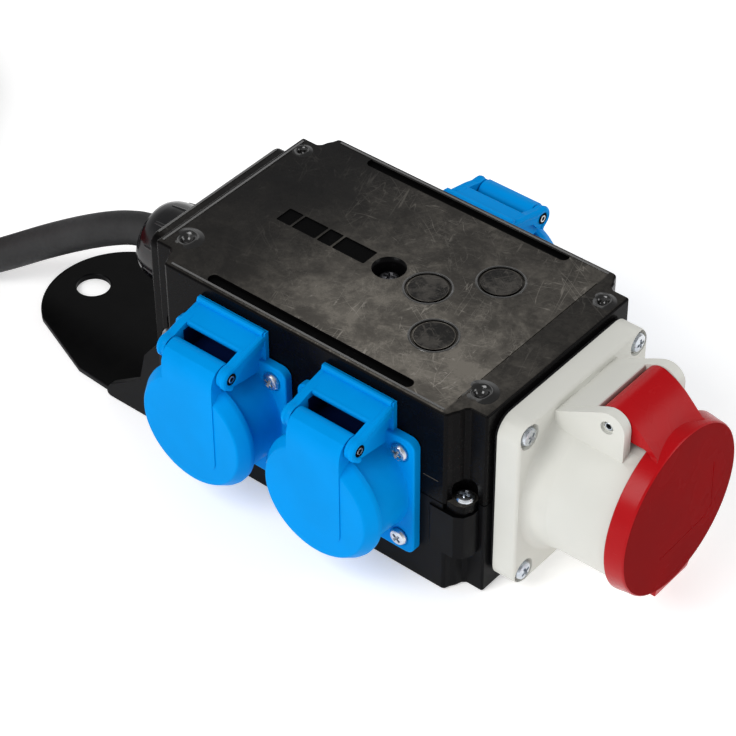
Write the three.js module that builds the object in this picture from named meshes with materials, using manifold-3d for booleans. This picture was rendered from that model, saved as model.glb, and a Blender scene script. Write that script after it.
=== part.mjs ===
// Portable power distribution box: two-shell housing, three flap-lid earthed
// sockets, one round five-pole industrial socket, a cable gland with its cord
// and plug, and a flat hanging tab. Millimetres, +Z up.
import * as THREE from 'three';
import { mergeVertices } from 'three/addons/utils/BufferGeometryUtils.js';
import Module from 'manifold-3d';

const wasm = await Module();
wasm.setup();

// ---------- driving dimensions (mm) ----------
const L = 143.5;            // housing length along X
const W = 92.44;            // housing width across the socket faces
const H = 78.62;            // housing height
const WALL = 3;             // shell wall
const PART_Z = -39.3;       // parting plane of the two shells
const END_X = 131.9;        // the full-width body ends here, mirrored at the other end
const END_IN = 7.5;         // the end blocks are set back by this
const WELL_R = 4.3;         // screw well in each corner of the upper shell
const GAP = 0.3;            // between neighbouring pieces
const TAB_R = 31, TAB_CX = -53.3, TAB_CY = 40.5, TAB_T = 2.5, TAB_HOLE_R = 6.5, TAB_HOLE_X = -69.3;
const PLUGIN = { w: 50, t: 3.5, pitch: 19, collarR: 22, collarOut: 18, recessR: 19.4, floorOut: 0.6,
  backR: 21.5, back: -26, pinOut: 18.9, pinUp: 27.8, lidR: 24, lidBack: 18.3, lidFront: 24.7, knuckle: 3.9, knuckleW: 11.2, earIn: 11.6, earOut: 14.6 };
const ROUND = { y: 46.2, z: -38.5, w: 71, t: 10.6, pitch: 30, r: 30.3, baseR: 31.2, out: 42.6, innerR: 26.2, bossR: 20,
  pinOut: 30.8, pinUp: 36.4, lidBack: 43, lidFront: 50.3, lidR: 31.6, earIn: 13.1, earOut: 16.8, knuckle: 5.7, knuckleW: 12.8 };
const SOCKETS = [
  { name: 'front_left', x: 42.62, z: -41.45, side: -1 },
  { name: 'front_right', x: 97.67, z: -41.45, side: -1 },
  { name: 'rear', x: 73, z: -37.5, side: 1 },
];
const GLAND = { y: 46.2, z: -39.5, end: -37.3 };
const CORD_R = 6.5;
const COIL = { x: -237.7, y: 29.5, inner: 58.5, outer: 84.5, top: 24.3 };
const PLUG = { len: 128, r: 31 };
const ORIGIN = new THREE.Vector3((L + ROUND.lidFront + TAB_CX - TAB_R) / 2, W / 2, -H);
const BIG = 24, MID = 16, SMALL = 8, TINY = 6;

// ---------- geometry helpers ----------
const v = (x, y, z) => new THREE.Vector3(x, y, z);
const X = v(1, 0, 0), Y = v(0, 1, 0), Z = v(0, 0, 1);
function solid(geo) {
  let g = geo.index ? geo.toNonIndexed() : geo.clone();
  for (const k of Object.keys(g.attributes)) if (k !== 'position') g.deleteAttribute(k);
  g = mergeVertices(g, 1e-4);
  const p = g.attributes.position.array, ix = g.index.array, t = [];
  let vol = 0;
  for (let i = 0; i < ix.length; i += 3) {
    const [a, b, c] = [ix[i], ix[i + 1], ix[i + 2]];
    if (a === b || b === c || a === c) continue;
    t.push(a, b, c);
    vol += p[3 * a] * (p[3 * b + 1] * p[3 * c + 2] - p[3 * b + 2] * p[3 * c + 1])
      - p[3 * a + 1] * (p[3 * b] * p[3 * c + 2] - p[3 * b + 2] * p[3 * c])
      + p[3 * a + 2] * (p[3 * b] * p[3 * c + 1] - p[3 * b + 1] * p[3 * c]);
  }
  if (vol < 0) for (let i = 0; i < t.length; i += 3) [t[i + 1], t[i + 2]] = [t[i + 2], t[i + 1]];
  return new wasm.Manifold(new wasm.Mesh({ numProp: 3, vertProperties: new Float32Array(p), triVerts: new Uint32Array(t) }));
}
function placed(geo, ex, ey, ez, o) {
  const g = geo.clone();
  g.applyMatrix4(new THREE.Matrix4().makeBasis(ex, ey, ez).setPosition(o));
  return solid(g);
}
const box = (x0, x1, y0, y1, z0, z1) => {
  const g = new THREE.BoxGeometry(x1 - x0, y1 - y0, z1 - z0);
  g.translate((x0 + x1) / 2, (y0 + y1) / 2, (z0 + z1) / 2);
  return solid(g);
};
// polygon in the (ex, ey) plane at o, extruded along ex × ey
const ext = (pts, ex, ey, o, h, bevel = 0) => {
  const s = new THREE.Shape(pts.map(([a, b]) => new THREE.Vector2(a, b)));
  const g = new THREE.ExtrudeGeometry(s, { depth: h - 2 * bevel, steps: 1, bevelEnabled: bevel > 0, bevelSize: bevel, bevelThickness: bevel, bevelOffset: -bevel, bevelSegments: 1 });
  g.translate(0, 0, bevel);
  return placed(g, ex, ey, new THREE.Vector3().crossVectors(ex, ey), o);
};
const across = (d) => { const a = Math.abs(d.z) > 0.9 ? X.clone() : Z.clone(); const e = new THREE.Vector3().crossVectors(a, d).normalize(); return [e, new THREE.Vector3().crossVectors(d, e)]; };
// profile [radius, height] turned about the line o + d·height
const turn = (prof, o, d, seg = MID) => {
  const g = new THREE.LatheGeometry(prof.map(([r, h]) => new THREE.Vector2(r, h)), seg);
  const [e] = across(d);
  return placed(g, e, d, new THREE.Vector3().crossVectors(e, d), o);
};
const cyl = (o, d, r, h, seg = MID) => turn([[0, 0], [r, 0], [r, h], [0, h]], o, d, seg);
const tube = (o, d, r0, r1, h, seg = MID) => turn([[r0, 0], [r1, 0], [r1, h], [r0, h], [r0, 0]], o, d, seg);
const rect = (w, h, r, n = 3) => {
  const p = [];
  for (const [cx, cy, a0] of [[w / 2 - r, -h / 2 + r, -90], [w / 2 - r, h / 2 - r, 0], [-w / 2 + r, h / 2 - r, 90], [-w / 2 + r, -h / 2 + r, 180]])
    for (let i = 0; i <= n; i++) { const a = (a0 + 90 * i / n) * Math.PI / 180; p.push([cx + r * Math.cos(a), cy + r * Math.sin(a)]); }
  return p;
};
const arc = (cx, cy, r, a0, a1, n) => Array.from({ length: n + 1 }, (_, i) => { const a = (a0 + (a1 - a0) * i / n) * Math.PI / 180; return [cx + r * Math.cos(a), cy + r * Math.sin(a)]; });
const sum = (...m) => m.reduce((a, b) => a.add(b));

// ---------- materials ----------
const mat = (color, roughness, metalness) => ({ color, roughness, metalness });
const M = {
  black: mat(0x1c1f26, 0.55, 0), grey: mat(0x2a2d33, 0.6, 0), blue: mat(0x0072d8, 0.4, 0), light: mat(0xd9d7cd, 0.45, 0),
  red: mat(0x9c0f18, 0.35, 0), steel: mat(0xaeb2b8, 0.35, 1), brass: mat(0xc8a24a, 0.35, 1), rubber: mat(0x2b2c2e, 0.8, 0), gloss: mat(0x0c0c0e, 0.25, 0),
};
const group = new THREE.Group();
group.name = 'power_distribution_box';
function part(name, man, m) {
  const mesh = man.getMesh();
  const n = mesh.numProp, src = mesh.vertProperties, pos = new Float32Array(src.length / n * 3);
  for (let i = 0; i < src.length / n; i++) {
    pos[3 * i] = src[n * i] - ORIGIN.x; pos[3 * i + 1] = src[n * i + 1] - ORIGIN.y; pos[3 * i + 2] = src[n * i + 2] - ORIGIN.z;
  }
  const g = new THREE.BufferGeometry();
  g.setAttribute('position', new THREE.BufferAttribute(pos, 3));
  g.setIndex([...mesh.triVerts]);
  g.computeVertexNormals();
  const o = new THREE.Mesh(g, new THREE.MeshStandardMaterial(m));
  o.name = name;
  group.add(o);
}

// ---------- housing ----------
const FR = [[END_X, 0], [133, 0.5], [133.7, 2.4], [134.9, 4.3], [135.6, 6.4], [136.9, END_IN], [L, END_IN]];
const mx = (p) => p.map(([a, b]) => [L - a, b]), my = (p) => p.map(([a, b]) => [a, W - b]);
const outline = [...FR, ...my(FR).reverse(), ...mx(my(FR)), ...mx(FR).reverse()];
const body = ext(outline, X, Y, v(0, 0, -H), H, 1.4);
const cavity = (z0, z1) => box(END_IN + 6.2, L - END_IN - 6.2 - 0.9, WALL, W - WALL, z0, z1).add(box(WALL, L - WALL, 13, W - 13, z0, z1));
const corners = [[1, 1], [1, -1], [-1, 1], [-1, -1]]; // [x sign, y sign]: -1,1 is the cable end's front corner
const at = (p, [sx, sy]) => { let q = p; if (sx < 0) q = mx(q); if (sy < 0) q = my(q); return q; };
const BOSS = [[126.3, 0.2], [127, -0.7], [136.9, -0.7], [139.8, 1], [141.2, 4.2], [141.2, 9.4], [131.5, 11.5], [126.3, 5]];
const EAR_LOW = [[132.3, 0.9], [137, 0.7], [139.4, 1.9], [140.6, 4.6], [140.4, 7.2], [137, 9.6], [133.5, 8.5], [132.3, 5.6]];
const EAR_TOP = [[131, 0.9], [137, 0.7], [139.4, 1.9], [140.6, 4.6], [140.6, 9], [136.8, 11.5], [131, 9]];
const SCREW_XY = [136.9, 5.4];
const PY = (s) => (s.side < 0 ? 0 : W);
const sockDir = (s) => v(0, s.side, 0);
const wallHoles = () => {
  const list = [];
  for (const s of SOCKETS) {
    const d = sockDir(s);
    list.push(cyl(v(s.x, PY(s) - s.side * 6, s.z), d, PLUGIN.backR + 0.4, 12, BIG));
    for (const a of [-1, 1]) for (const b of [-1, 1]) list.push(cyl(v(s.x + a * PLUGIN.pitch, PY(s) - s.side * 6, s.z + b * PLUGIN.pitch), d, 1.9, 12, TINY));
  }
  list.push(cyl(v(L - 6, ROUND.y, ROUND.z), X, 28.3, 12, BIG));
  for (const a of [-1, 1]) for (const b of [-1, 1]) list.push(cyl(v(L - 6, ROUND.y + a * ROUND.pitch, ROUND.z + b * ROUND.pitch), X, 1.9, 12, TINY));
  list.push(cyl(v(-6, GLAND.y, GLAND.z), X, 13, 12, MID));
  return sum(...list);
};
const holes = wallHoles();
const POST = [71.4, 46.4];

let upper = body.intersect(box(-5, L + 5, -5, W + 5, PART_Z + 0.2, 5)).subtract(cavity(PART_Z - 1, -WALL));
upper = upper.add(cyl(v(POST[0], POST[1], PART_Z + 0.2), Z, 7.5, -PART_Z - 1.2, MID));
for (const c of corners) upper = upper.add(ext(at(EAR_TOP, c), X, Y, v(0, 0, PART_Z + 0.2), 1.3)).add(ext(at(EAR_LOW, c), X, Y, v(0, 0, -41.5), 3));
upper = upper.subtract(holes)
  .subtract(cyl(v(POST[0], POST[1], -10), Z, 5.4, 12, MID)).subtract(cyl(v(POST[0], POST[1], -42), Z, 2.1, 34, TINY));
for (const c of corners) { const [[sx, sy]] = at([SCREW_XY], c); upper = upper.subtract(cyl(v(sx, sy, -43), Z, 1.8, 6, TINY)).subtract(turn([[0, -37.8], [WELL_R, -37.8], [WELL_R, -32.4], [3, -30.6], [0, -30.6]], v(sx, sy, 0), Z, MID)); }
for (const y of [4.5, 88.7]) upper = upper.subtract(ext(rect(88, 4.4, 2.15, 2), X, Y, v(71.4, y, -1.2), 3));
let rx = 24;
for (const w of [6.2, 10.4, 6, 14]) { upper = upper.subtract(ext(rect(w, 7.7, 0.6, 1), X, Y, v(rx + w / 2, 46.45, -1.2), 3)); rx += w + 0.85; }
for (const [x, y] of [[88.3, 46.3], [105.3, 64.4], [105.2, 28.3]]) upper = upper.subtract(tube(v(x, y, -0.6), Z, 7.9, 8.5, 2, MID));
for (const [x, y] of [[7.6, 14.9], [5.1, 78.3], [137.7, 77.6], [134.4, 15.6]]) upper = upper.subtract(cyl(v(x, y, -0.8), Z, 1.6, 2, TINY));
part('upper_housing', upper, M.black);

let lower = body.intersect(box(-5, L + 5, -5, W + 5, -H - 5, PART_Z)).subtract(cavity(-H + WALL, PART_Z + 1));
lower = lower.add(cyl(v(POST[0], POST[1], -H + 1), Z, 5, H - 1 + PART_Z, MID));
for (const c of corners) lower = lower.add(ext(at(BOSS, c), X, Y, v(0, 0, -60.5), 18.7));
// clearance for the upper shell's ears above the bosses
for (const c of corners) lower = lower.subtract(ext(at([[132, 0], [141.4, 0], [141.4, 7.4], [137, 10.05], [133, 8.9], [132, 6]], c), X, Y, v(0, 0, -41.8), 6));
const TAB = [[14, 1.3], [-6.7, 1.3], [-24.7, 2], [-40.1, 2.9], ...arc(TAB_CX, TAB_CY, TAB_R, 236, 124, 11), [-40.1, 78.1], [-24.7, 80], [-12, 84.2], [14, 84.2]];
lower = lower.add(ext(TAB, X, Y, v(0, 0, -H), TAB_T));
const CHEEK = [[14, -60], [14, -42.2], [4.5, -42.2], [1.2, -43.5], [-2.5, -48.4], [-5.7, -61.8], [-22, -73], [-24, -H], [14, -H]];
lower = lower.add(ext(CHEEK, X, Z, v(0, 3.2, 0), 2.9));
lower = lower.add(ext([[9, -48], [0, -48], [-5.7, -61.8], [-22, -73], [-24, -H], [9, -H]], X, Z, v(0, 84.2, 0), 2.8));
lower = lower.subtract(holes).subtract(cyl(v(POST[0], POST[1], -60), Z, 1.9, 30, TINY))
  .subtract(cyl(v(TAB_HOLE_X, TAB_CY + 0.3, -H - 2), Z, TAB_HOLE_R, 8, MID));
for (const c of corners) { const [[sx, sy]] = at([SCREW_XY], c); lower = lower.subtract(cyl(v(sx, sy, -56), Z, 1.8, 20, TINY)); }
part('lower_housing', lower, M.grey);

const screw = (o, d, r, h, shank, len, slot = true) => {
  let s = turn([[0, 0], [r, 0], [r * 0.85, h], [0, h]], o, d, SMALL).add(cyl(o.clone().addScaledVector(d, 0.2), d.clone().negate(), shank, len + 0.2, TINY));
  if (slot) {
    const [e, f] = across(d), c = o.clone().addScaledVector(d, h);
    for (const [a, b] of [[e, f], [f, e]]) s = s.subtract(ext([[-r * 0.5, -0.35], [r * 0.5, -0.35], [r * 0.5, 0.35], [-r * 0.5, 0.35]], a, b, c.clone().addScaledVector(new THREE.Vector3().crossVectors(a, b), -1), 2));
  }
  return s;
};
corners.forEach((c, i) => { const [[sx, sy]] = at([SCREW_XY], c); part('housing_screw_' + (i + 1), screw(v(sx, sy, -37.6), Z, 3.3, 2, 1.5, 15), M.steel); });
part('cover_screw', screw(v(POST[0], POST[1], -9.7), Z, 4.2, 2.6, 1.7, 46), M.steel);
part('terminal_block', box(20, 56, 39.5, 53, -75.3, -58).subtract(sum(...[0, 1, 2, 3, 4].map((i) => cyl(v(24.4 + 6.8 * i, 36, -66), Y, 1.9, 20, TINY)))), M.light);

// ---------- cable end plate and gland ----------
let plate = ext(rect(69.5, 70.6, 4, 2), Y, Z, v(-7, 45.75, -38.7), 6.7, 1);
plate = plate.subtract(cyl(v(-9, GLAND.y, GLAND.z), X, 12.4, 12, MID)).subtract(box(-8, -4.6, 14.4, 19.6, -12, -6.6));
part('end_plate', plate, M.black);
const G = (x) => v(x, GLAND.y, GLAND.z);
part('gland_body', turn([[7.4, 0], [12.1, 0], [12.1, 14.2], [15.8, 14.2], [15.8, 19], [12.2, 19], [12.2, 27], [9.6, 27], [9.6, 21], [7.4, 21], [7.4, 0]], G(7), X.clone().negate(), MID), M.gloss);
part('gland_nut', turn([[12.6, 0], [16.4, 0], [16.4, 9], [15.4, 13], [14.6, 24.7], [8, 24.7], [7, 23.4], [7, 16], [12.6, 13], [12.6, 0]], G(-12.5), X.clone().negate(), MID), M.gloss);
part('gland_seal', tube(G(-14.4), X.clone().negate(), 6.9, 9.2, 7, MID), M.rubber);
part('gland_locknut', turn([[12.9, 0], [16, 0], [16, 3.2], [12.9, 3.2], [12.9, 0]], G(3.3), X, MID), M.steel);

// ---------- flap-lid sockets ----------
for (const s of SOCKETS) {
  const d = sockDir(s), o = v(s.x, PY(s), s.z);
  const q = (out, up) => o.clone().addScaledVector(d, out).add(v(0, 0, up));
  const e = v(-s.side, 0, 0);                // e × Z = d ; sideways
  const prism = (pts, w0, w1) => {            // pts [out, up], from w0 to w1 along X
    const ex = d, ey = Z, n = new THREE.Vector3().crossVectors(ex, ey); // ±X
    const from = n.x > 0 ? w0 : -w1;
    return ext(pts, ex, ey, v(s.x + (n.x > 0 ? from : -from), PY(s), s.z), w1 - w0);
  };
  const P = PLUGIN;
  let b = ext(rect(P.w, P.w, 4, 3), e, Z, q(GAP, 0), P.t - GAP);
  b = b.add(cyl(q(P.t - 0.5, 0), d, P.collarR, P.collarOut - P.t + 0.5, BIG)).add(cyl(q(P.back, 0), d, P.backR, 1 - P.back, BIG));
  const ear = [[GAP, 35.5], [1.3, 35.5], [17.4, 31.6], ...arc(P.pinOut, P.pinUp, 4, 100, -70, 6), [17.6, 22], [3, 20], [GAP, 20]];
  b = b.add(prism(ear, P.earIn, P.earOut)).add(prism(ear, -P.earOut, -P.earIn));
  b = b.add(prism([[GAP, 35.5], [1.3, 35.5], [10.8, 33.3], [10.8, 31.8], [3, 33.4], [3, 20], [GAP, 20]], -12, 12));
  b = b.subtract(cyl(q(P.floorOut, 0), d, P.recessR, 30, BIG));
  for (const a of [-9.5, 9.5]) b = b.subtract(cyl(v(s.x + a, q(-19, 0).y, s.z), d, 2.6, 24, SMALL));
  for (const a of [-1, 1]) for (const c of [-1, 1]) b = b.subtract(cyl(v(s.x + a * P.pitch, q(-4, 0).y, s.z + c * P.pitch), d, 1.9, 12, TINY));
  b = b.subtract(cyl(v(s.x - 18, q(P.pinOut, 0).y, s.z + P.pinUp), X, 1.6, 36, SMALL));
  part('socket_' + s.name + '_body', b, M.blue);
  let lid = turn([[0, P.lidBack + 4.2], [20.6, P.lidBack + 4.2], [20.6, P.lidBack], [P.lidR, P.lidBack], [P.lidR, 21.6], [22.6, 23.9], [20.8, P.lidFront], [0, P.lidFront]], o, d, BIG);
  const k = P.knuckle;
  lid = lid.add(prism([...arc(P.pinOut, P.pinUp, k, 290, 75, 9), [22.4, 30.4], [24.2, 27.5], [P.lidFront + 0.35, 22], [P.lidFront + 0.35, -12], [24.2, -12], [24.2, 16], [19.6, 20.6]], -P.knuckleW, P.knuckleW));
  lid = lid.subtract(cyl(v(s.x - 18, q(P.pinOut, 0).y, s.z + P.pinUp), X, 1.6, 36, SMALL));
  lid = lid.subtract(cyl(v(s.x - 4, q(P.pinOut, 0).y, s.z + P.pinUp), X, 3.2, 8, SMALL)); // the spring's bore
  part('socket_' + s.name + '_lid', lid, M.blue);
  part('socket_' + s.name + '_pin', cyl(v(s.x - P.earOut, q(P.pinOut, 0).y, s.z + P.pinUp), X, 1.4, 2 * P.earOut, TINY), M.steel);
  part('socket_' + s.name + '_spring', tube(v(s.x - 3.6, q(P.pinOut, 0).y, s.z + P.pinUp), X, 1.8, 2.9, 7.2, SMALL), M.steel);
  let i = 0;
  for (const a of [-1, 1]) for (const c of [-1, 1])
    part('socket_' + s.name + '_screw_' + (++i), screw(v(s.x + a * P.pitch, q(P.t + 0.15, 0).y, s.z + c * P.pitch), d, 3.3, 1.7, 1.55, 11, false), M.steel);
}

// ---------- round five-pole socket ----------
{
  const R = ROUND, C = (x) => v(L + x, R.y, R.z);
  const prism = (pts, w0, w1) => ext(pts.map(([a, b]) => [a, b]), X, Z, v(L, R.y + w1, R.z), w1 - w0); // [out, up], along Y
  part('round_socket_gasket', ext(rect(69, 69, 7, 2), Y, Z, C(0.2), 1.2).subtract(cyl(C(-1), X, 28.6, 5, BIG)).subtract(sum(...[[1, 1], [1, -1], [-1, 1], [-1, -1]].map(([a, b]) => cyl(v(L - 1, R.y + a * R.pitch, R.z + b * R.pitch), X, 2, 5, TINY)))), M.rubber);
  let b = ext(rect(R.w, R.w, 7, 3), Y, Z, C(1.6), R.t - 1.6, 0.8);
  b = b.add(turn([[0, 8], [R.baseR, 8], [R.baseR, 17], [R.r, 17.4], [R.r, R.out], [0, R.out]], C(0), X, BIG + 4)).add(cyl(C(-3.5), X, 27.9, 8, BIG));
  const ear = [[8, 24], [8, 32.6], [10.6, 33], [25.5, 42.2], ...arc(R.pinOut, R.pinUp, 7, 110, 0, 5), [37.8, 28], [37.8, 24]];
  b = b.add(prism(ear, R.earIn, R.earOut)).add(prism(ear, -R.earOut, -R.earIn));
  b = b.add(prism([[8, 24], [8, 32.6], [10.6, 33], [22.8, 40.4], [22.8, 24]], -R.earIn - 0.5, R.earIn + 0.5));
  b = b.subtract(cyl(C(8.3), X, R.innerR, 60, BIG + 4)).subtract(cyl(C(-10), X, 25.3, 20, BIG + 4));
  b = b.subtract(box(L + 14, L + 50, R.y - 3, R.y + 3, R.z - 28, R.z - 24));
  for (const a of [-1, 1]) for (const c of [-1, 1]) b = b.subtract(cyl(v(L - 2, R.y + a * R.pitch, R.z + c * R.pitch), X, 2, 20, TINY)).subtract(cyl(v(L + 8.6, R.y + a * R.pitch, R.z + c * R.pitch), X, 4, 10, MID));
  b = b.subtract(cyl(v(L + R.pinOut, R.y - 20, R.z + R.pinUp), Y, 1.9, 40, SMALL));
  part('round_socket_body', b, M.light);
  let ins = turn([[0, -18], [25, -18], [25, 8], [R.bossR, 8], [R.bossR, 39.5], [0, 39.5]], C(0), X, BIG);
  const pins = [180, 108, 36, -36, -108].map((a) => [13.6 * Math.sin(a * Math.PI / 180), 13.6 * Math.cos(a * Math.PI / 180)]);
  for (const [y, z] of pins) ins = ins.subtract(cyl(v(L + 10, R.y + y, R.z + z), X, 3.4, 40, SMALL));
  part('round_socket_insert', ins, M.grey);
  pins.forEach(([y, z], i) => part('contact_sleeve_' + (i + 1), tube(v(L + 10.4, R.y + y, R.z + z), X, 2.5, 3.1, 28.4, SMALL), M.brass));
  let lid = turn([[0, 47.6], [29, 47.6], [29, R.lidBack], [R.lidR + 0.8, R.lidBack], [R.lidR + 0.8, 44.6], [R.lidR, 45.2], [R.lidR, 49.4], [30.6, R.lidFront], [0, R.lidFront]], C(0), X, BIG + 4);
  lid = lid.add(prism([...arc(R.pinOut, R.pinUp, R.knuckle, 270, 60, 9), [37.5, 39.6], [44.4, 33.6], [49.6, 27.6], [49.9, 20], [47.7, 20], [47.7, 28.2], [42.9, 31.2], [36.4, 31.4]], -R.knuckleW, R.knuckleW));
  lid = lid.add(box(L + 45.4, L + R.lidFront, R.y - 9, R.y + 9, R.z - 34.2, R.z - 29));
  lid = lid.subtract(cyl(v(L + R.pinOut, R.y - 20, R.z + R.pinUp), Y, 1.9, 40, SMALL)).subtract(cyl(v(L + R.pinOut, R.y - 4.6, R.z + R.pinUp), Y, 4.1, 9.2, SMALL)); // pin hole and the spring's bore
  part('round_socket_lid', lid, M.red);
  part('round_lid_seal', tube(C(R.lidBack + 0.3), X, 26, 28.4, 3.8, BIG), M.rubber);
  part('round_lid_pin', cyl(v(L + R.pinOut, R.y - R.earOut, R.z + R.pinUp), Y, 1.6, 2 * R.earOut, SMALL), M.steel);
  part('round_lid_spring', tube(v(L + R.pinOut, R.y - 4.2, R.z + R.pinUp), Y, 2, 3.6, 8.4, SMALL), M.steel);
  let i = 0;
  for (const a of [-1, 1]) for (const c of [-1, 1]) part('round_socket_screw_' + (++i), screw(v(L + 8.8, R.y + a * R.pitch, R.z + c * R.pitch), X, 3.5, 2.4, 1.6, 18, false), M.steel);
}

// ---------- cord, coil, plug ----------
const path = new THREE.CatmullRomCurve3([
  [-37.6, 46.2, -39.5], [-45.4, 46.1, -40.1], [-56, 42.6, -43], [-71.4, 36.6, -50], [-86.6, 30.6, -58.5], [-99.8, 23.5, -66.4],
  [-111.5, 15.5, -70.8], [-123, 8.3, -71.95], [-139, -1.5, -71.95], [-156.4, -12.1, -71.95],
].map((p) => v(...p)), false, 'centripetal');
const circle = new THREE.Shape(arc(0, 0, CORD_R, 0, 324, 9).map(([a, b]) => new THREE.Vector2(a, b)));
part('cord_run', solid(new THREE.ExtrudeGeometry(circle, { steps: 12, bevelEnabled: false, extrudePath: path })), M.rubber);
const cz = -H + 0.2, D = COIL;
const ringSolid = turn([[D.inner, 0], [D.outer, 0], [D.outer, 11], [77, D.top - 0.2], [66, D.top - 0.2], [D.inner, 11], [D.inner, 0]], v(D.x, D.y, cz), Z, BIG + 4);
part('cord_coil', ringSolid, M.rubber);
const tieA = 250 * Math.PI / 180, tc = v(Math.cos(tieA), Math.sin(tieA), 0), tt = v(-Math.sin(tieA), Math.cos(tieA), 0);
const tieO = (w) => v(D.x, D.y, cz).addScaledVector(tt, w);
const band = (g) => [[D.inner - g, 2.2], [D.inner - g, 11 + g * 0.5], [66 - g * 0.5, D.top - 0.2 + g], [77 + g * 0.5, D.top - 0.2 + g], [D.outer + g, 11 + g * 0.5], [D.outer + g, 2.2]];
const tie = ext([...band(2.3), ...band(0.9).reverse()], tc, Z, tieO(4), 8);
part('cord_tie', tie, M.gloss);
const tilt = 10 * Math.PI / 180, PD = v(0, -Math.cos(tilt), Math.sin(tilt)), po = v(D.x + 50, D.y + 21.5, cz + 44.4);
part('plug_body', turn([[0, 24], [14.5, 24], [20, 27], [24, 34], [24.5, 62], [27.5, 68], [PLUG.r - 2.5, 74], [PLUG.r - 2.5, 126], [26.4, 126], [26.4, 88], [0, 88]], po, PD, MID + 4), M.red);
part('plug_nut', turn([[7, 0], [11.5, 0], [14, 3], [16.5, 12], [16.5, 23.5], [7, 23.5], [7, 0]], po, PD, 12), M.gloss);
{
  let carrier = turn([[0, 88.4], [20, 88.4], [20, 92], [0, 92]], po, PD, MID);
  const [pe, pf] = across(PD);
  for (const a of [180, 108, 36, -36, -108]) carrier = carrier.add(cyl(po.clone().addScaledVector(PD, 91).addScaledVector(pe, 13.6 * Math.sin(a * Math.PI / 180)).addScaledVector(pf, 13.6 * Math.cos(a * Math.PI / 180)), PD, 2.5, 31, TINY));
  part('plug_contact_pins', carrier, M.brass);
}

export default group;
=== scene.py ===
import math, random
import bpy, bmesh
from mathutils import Vector, Matrix


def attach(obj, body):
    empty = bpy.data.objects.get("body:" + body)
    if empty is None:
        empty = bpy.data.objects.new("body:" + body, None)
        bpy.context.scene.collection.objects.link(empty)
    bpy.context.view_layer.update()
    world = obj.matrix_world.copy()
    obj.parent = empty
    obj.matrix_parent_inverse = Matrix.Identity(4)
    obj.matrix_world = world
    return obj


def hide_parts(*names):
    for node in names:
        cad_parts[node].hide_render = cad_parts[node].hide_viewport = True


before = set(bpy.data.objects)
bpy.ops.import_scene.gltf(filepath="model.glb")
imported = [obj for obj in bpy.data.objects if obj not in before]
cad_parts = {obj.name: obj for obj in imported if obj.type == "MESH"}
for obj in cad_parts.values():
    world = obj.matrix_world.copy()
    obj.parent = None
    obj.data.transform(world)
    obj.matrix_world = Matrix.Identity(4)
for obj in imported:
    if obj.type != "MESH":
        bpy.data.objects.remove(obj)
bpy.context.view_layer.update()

random.seed(7)
scene = bpy.context.scene
col = scene.collection

# ------------------------------------------------------------------ frame
# Lengths below are in millimetres in a working frame with x=0 at the cable
# end of the housing's top, y=0 at its front face and z=0 at its top.
O = Vector((54.75, 46.22, -78.62))
L, W, H = 143.5, 92.44, 78.62


def P(x, y, z):
    return (Vector((x, y, z)) - O) * 0.001


# ------------------------------------------------------------------ camera
AZ, EL, RO = math.radians(39.843), math.radians(40.834), math.radians(-0.347)
back = Vector((math.sin(AZ) * math.cos(EL), -math.cos(AZ) * math.cos(EL), math.sin(EL)))
right0 = Vector((math.cos(AZ), math.sin(AZ), 0))
up0 = back.cross(right0)
right = math.cos(RO) * right0 + math.sin(RO) * up0
up = -math.sin(RO) * right0 + math.cos(RO) * up0
eye = Vector((75, 47, -40)) + back * 936.9 - right * 10.49 - up * 2.39
cam_data = bpy.data.cameras.new("camera")
cam_data.sensor_width = 36
cam_data.lens = 2700 * 36 / 736
cam_data.clip_start = 0.02
cam_data.clip_end = 60
cam = bpy.data.objects.new("camera", cam_data)
col.objects.link(cam)
m = Matrix((right, up, back)).transposed().to_4x4()
m.translation = P(*eye)
cam.matrix_world = m
scene.camera = cam


# ------------------------------------------------------------------ mesh code
def arc(cx, cy, r, a0, a1, n):
    return [(cx + r * math.cos(math.radians(a0 + (a1 - a0) * i / n)), cy + r * math.sin(math.radians(a0 + (a1 - a0) * i / n))) for i in range(n + 1)]


def rect(w, h, r, n=6, cx=0.0, cy=0.0):
    p = []
    for x, y, a in ((w / 2 - r, -h / 2 + r, -90), (w / 2 - r, h / 2 - r, 0), (-w / 2 + r, h / 2 - r, 90), (-w / 2 + r, -h / 2 + r, 180)):
        p += arc(cx + x, cy + y, r, a, a + 90, n)
    return p


def fillet(pts, r, n=5, sharp=150):
    """Rounds a polygon's corners to radius r, or to r(i) for corner i."""
    out, N = [], len(pts)
    for i, p in enumerate(pts):
        a, b, c = Vector(pts[i - 1]), Vector(p), Vector(pts[(i + 1) % N])
        u, w = a - b, c - b
        lu, lw = u.length, w.length
        u, w = u / lu, w / lw
        ang = u.angle(w)
        rr = r(i) if callable(r) else r
        if ang > math.radians(sharp) or rr <= 0:
            out.append((b.x, b.y))
            continue
        t = min(rr / math.tan(ang / 2), lu * 0.48, lw * 0.48)
        rr = t * math.tan(ang / 2)
        cen = b + (u + w).normalized() * (rr / math.sin(ang / 2))
        s, e = b + u * t, b + w * t
        a0 = math.atan2(s.y - cen.y, s.x - cen.x)
        d = math.atan2(e.y - cen.y, e.x - cen.x) - a0
        d = (d + math.pi) % (2 * math.pi) - math.pi
        out += [(cen.x + rr * math.cos(a0 + d * k / n), cen.y + rr * math.sin(a0 + d * k / n)) for k in range(n + 1)]
    return out


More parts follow.
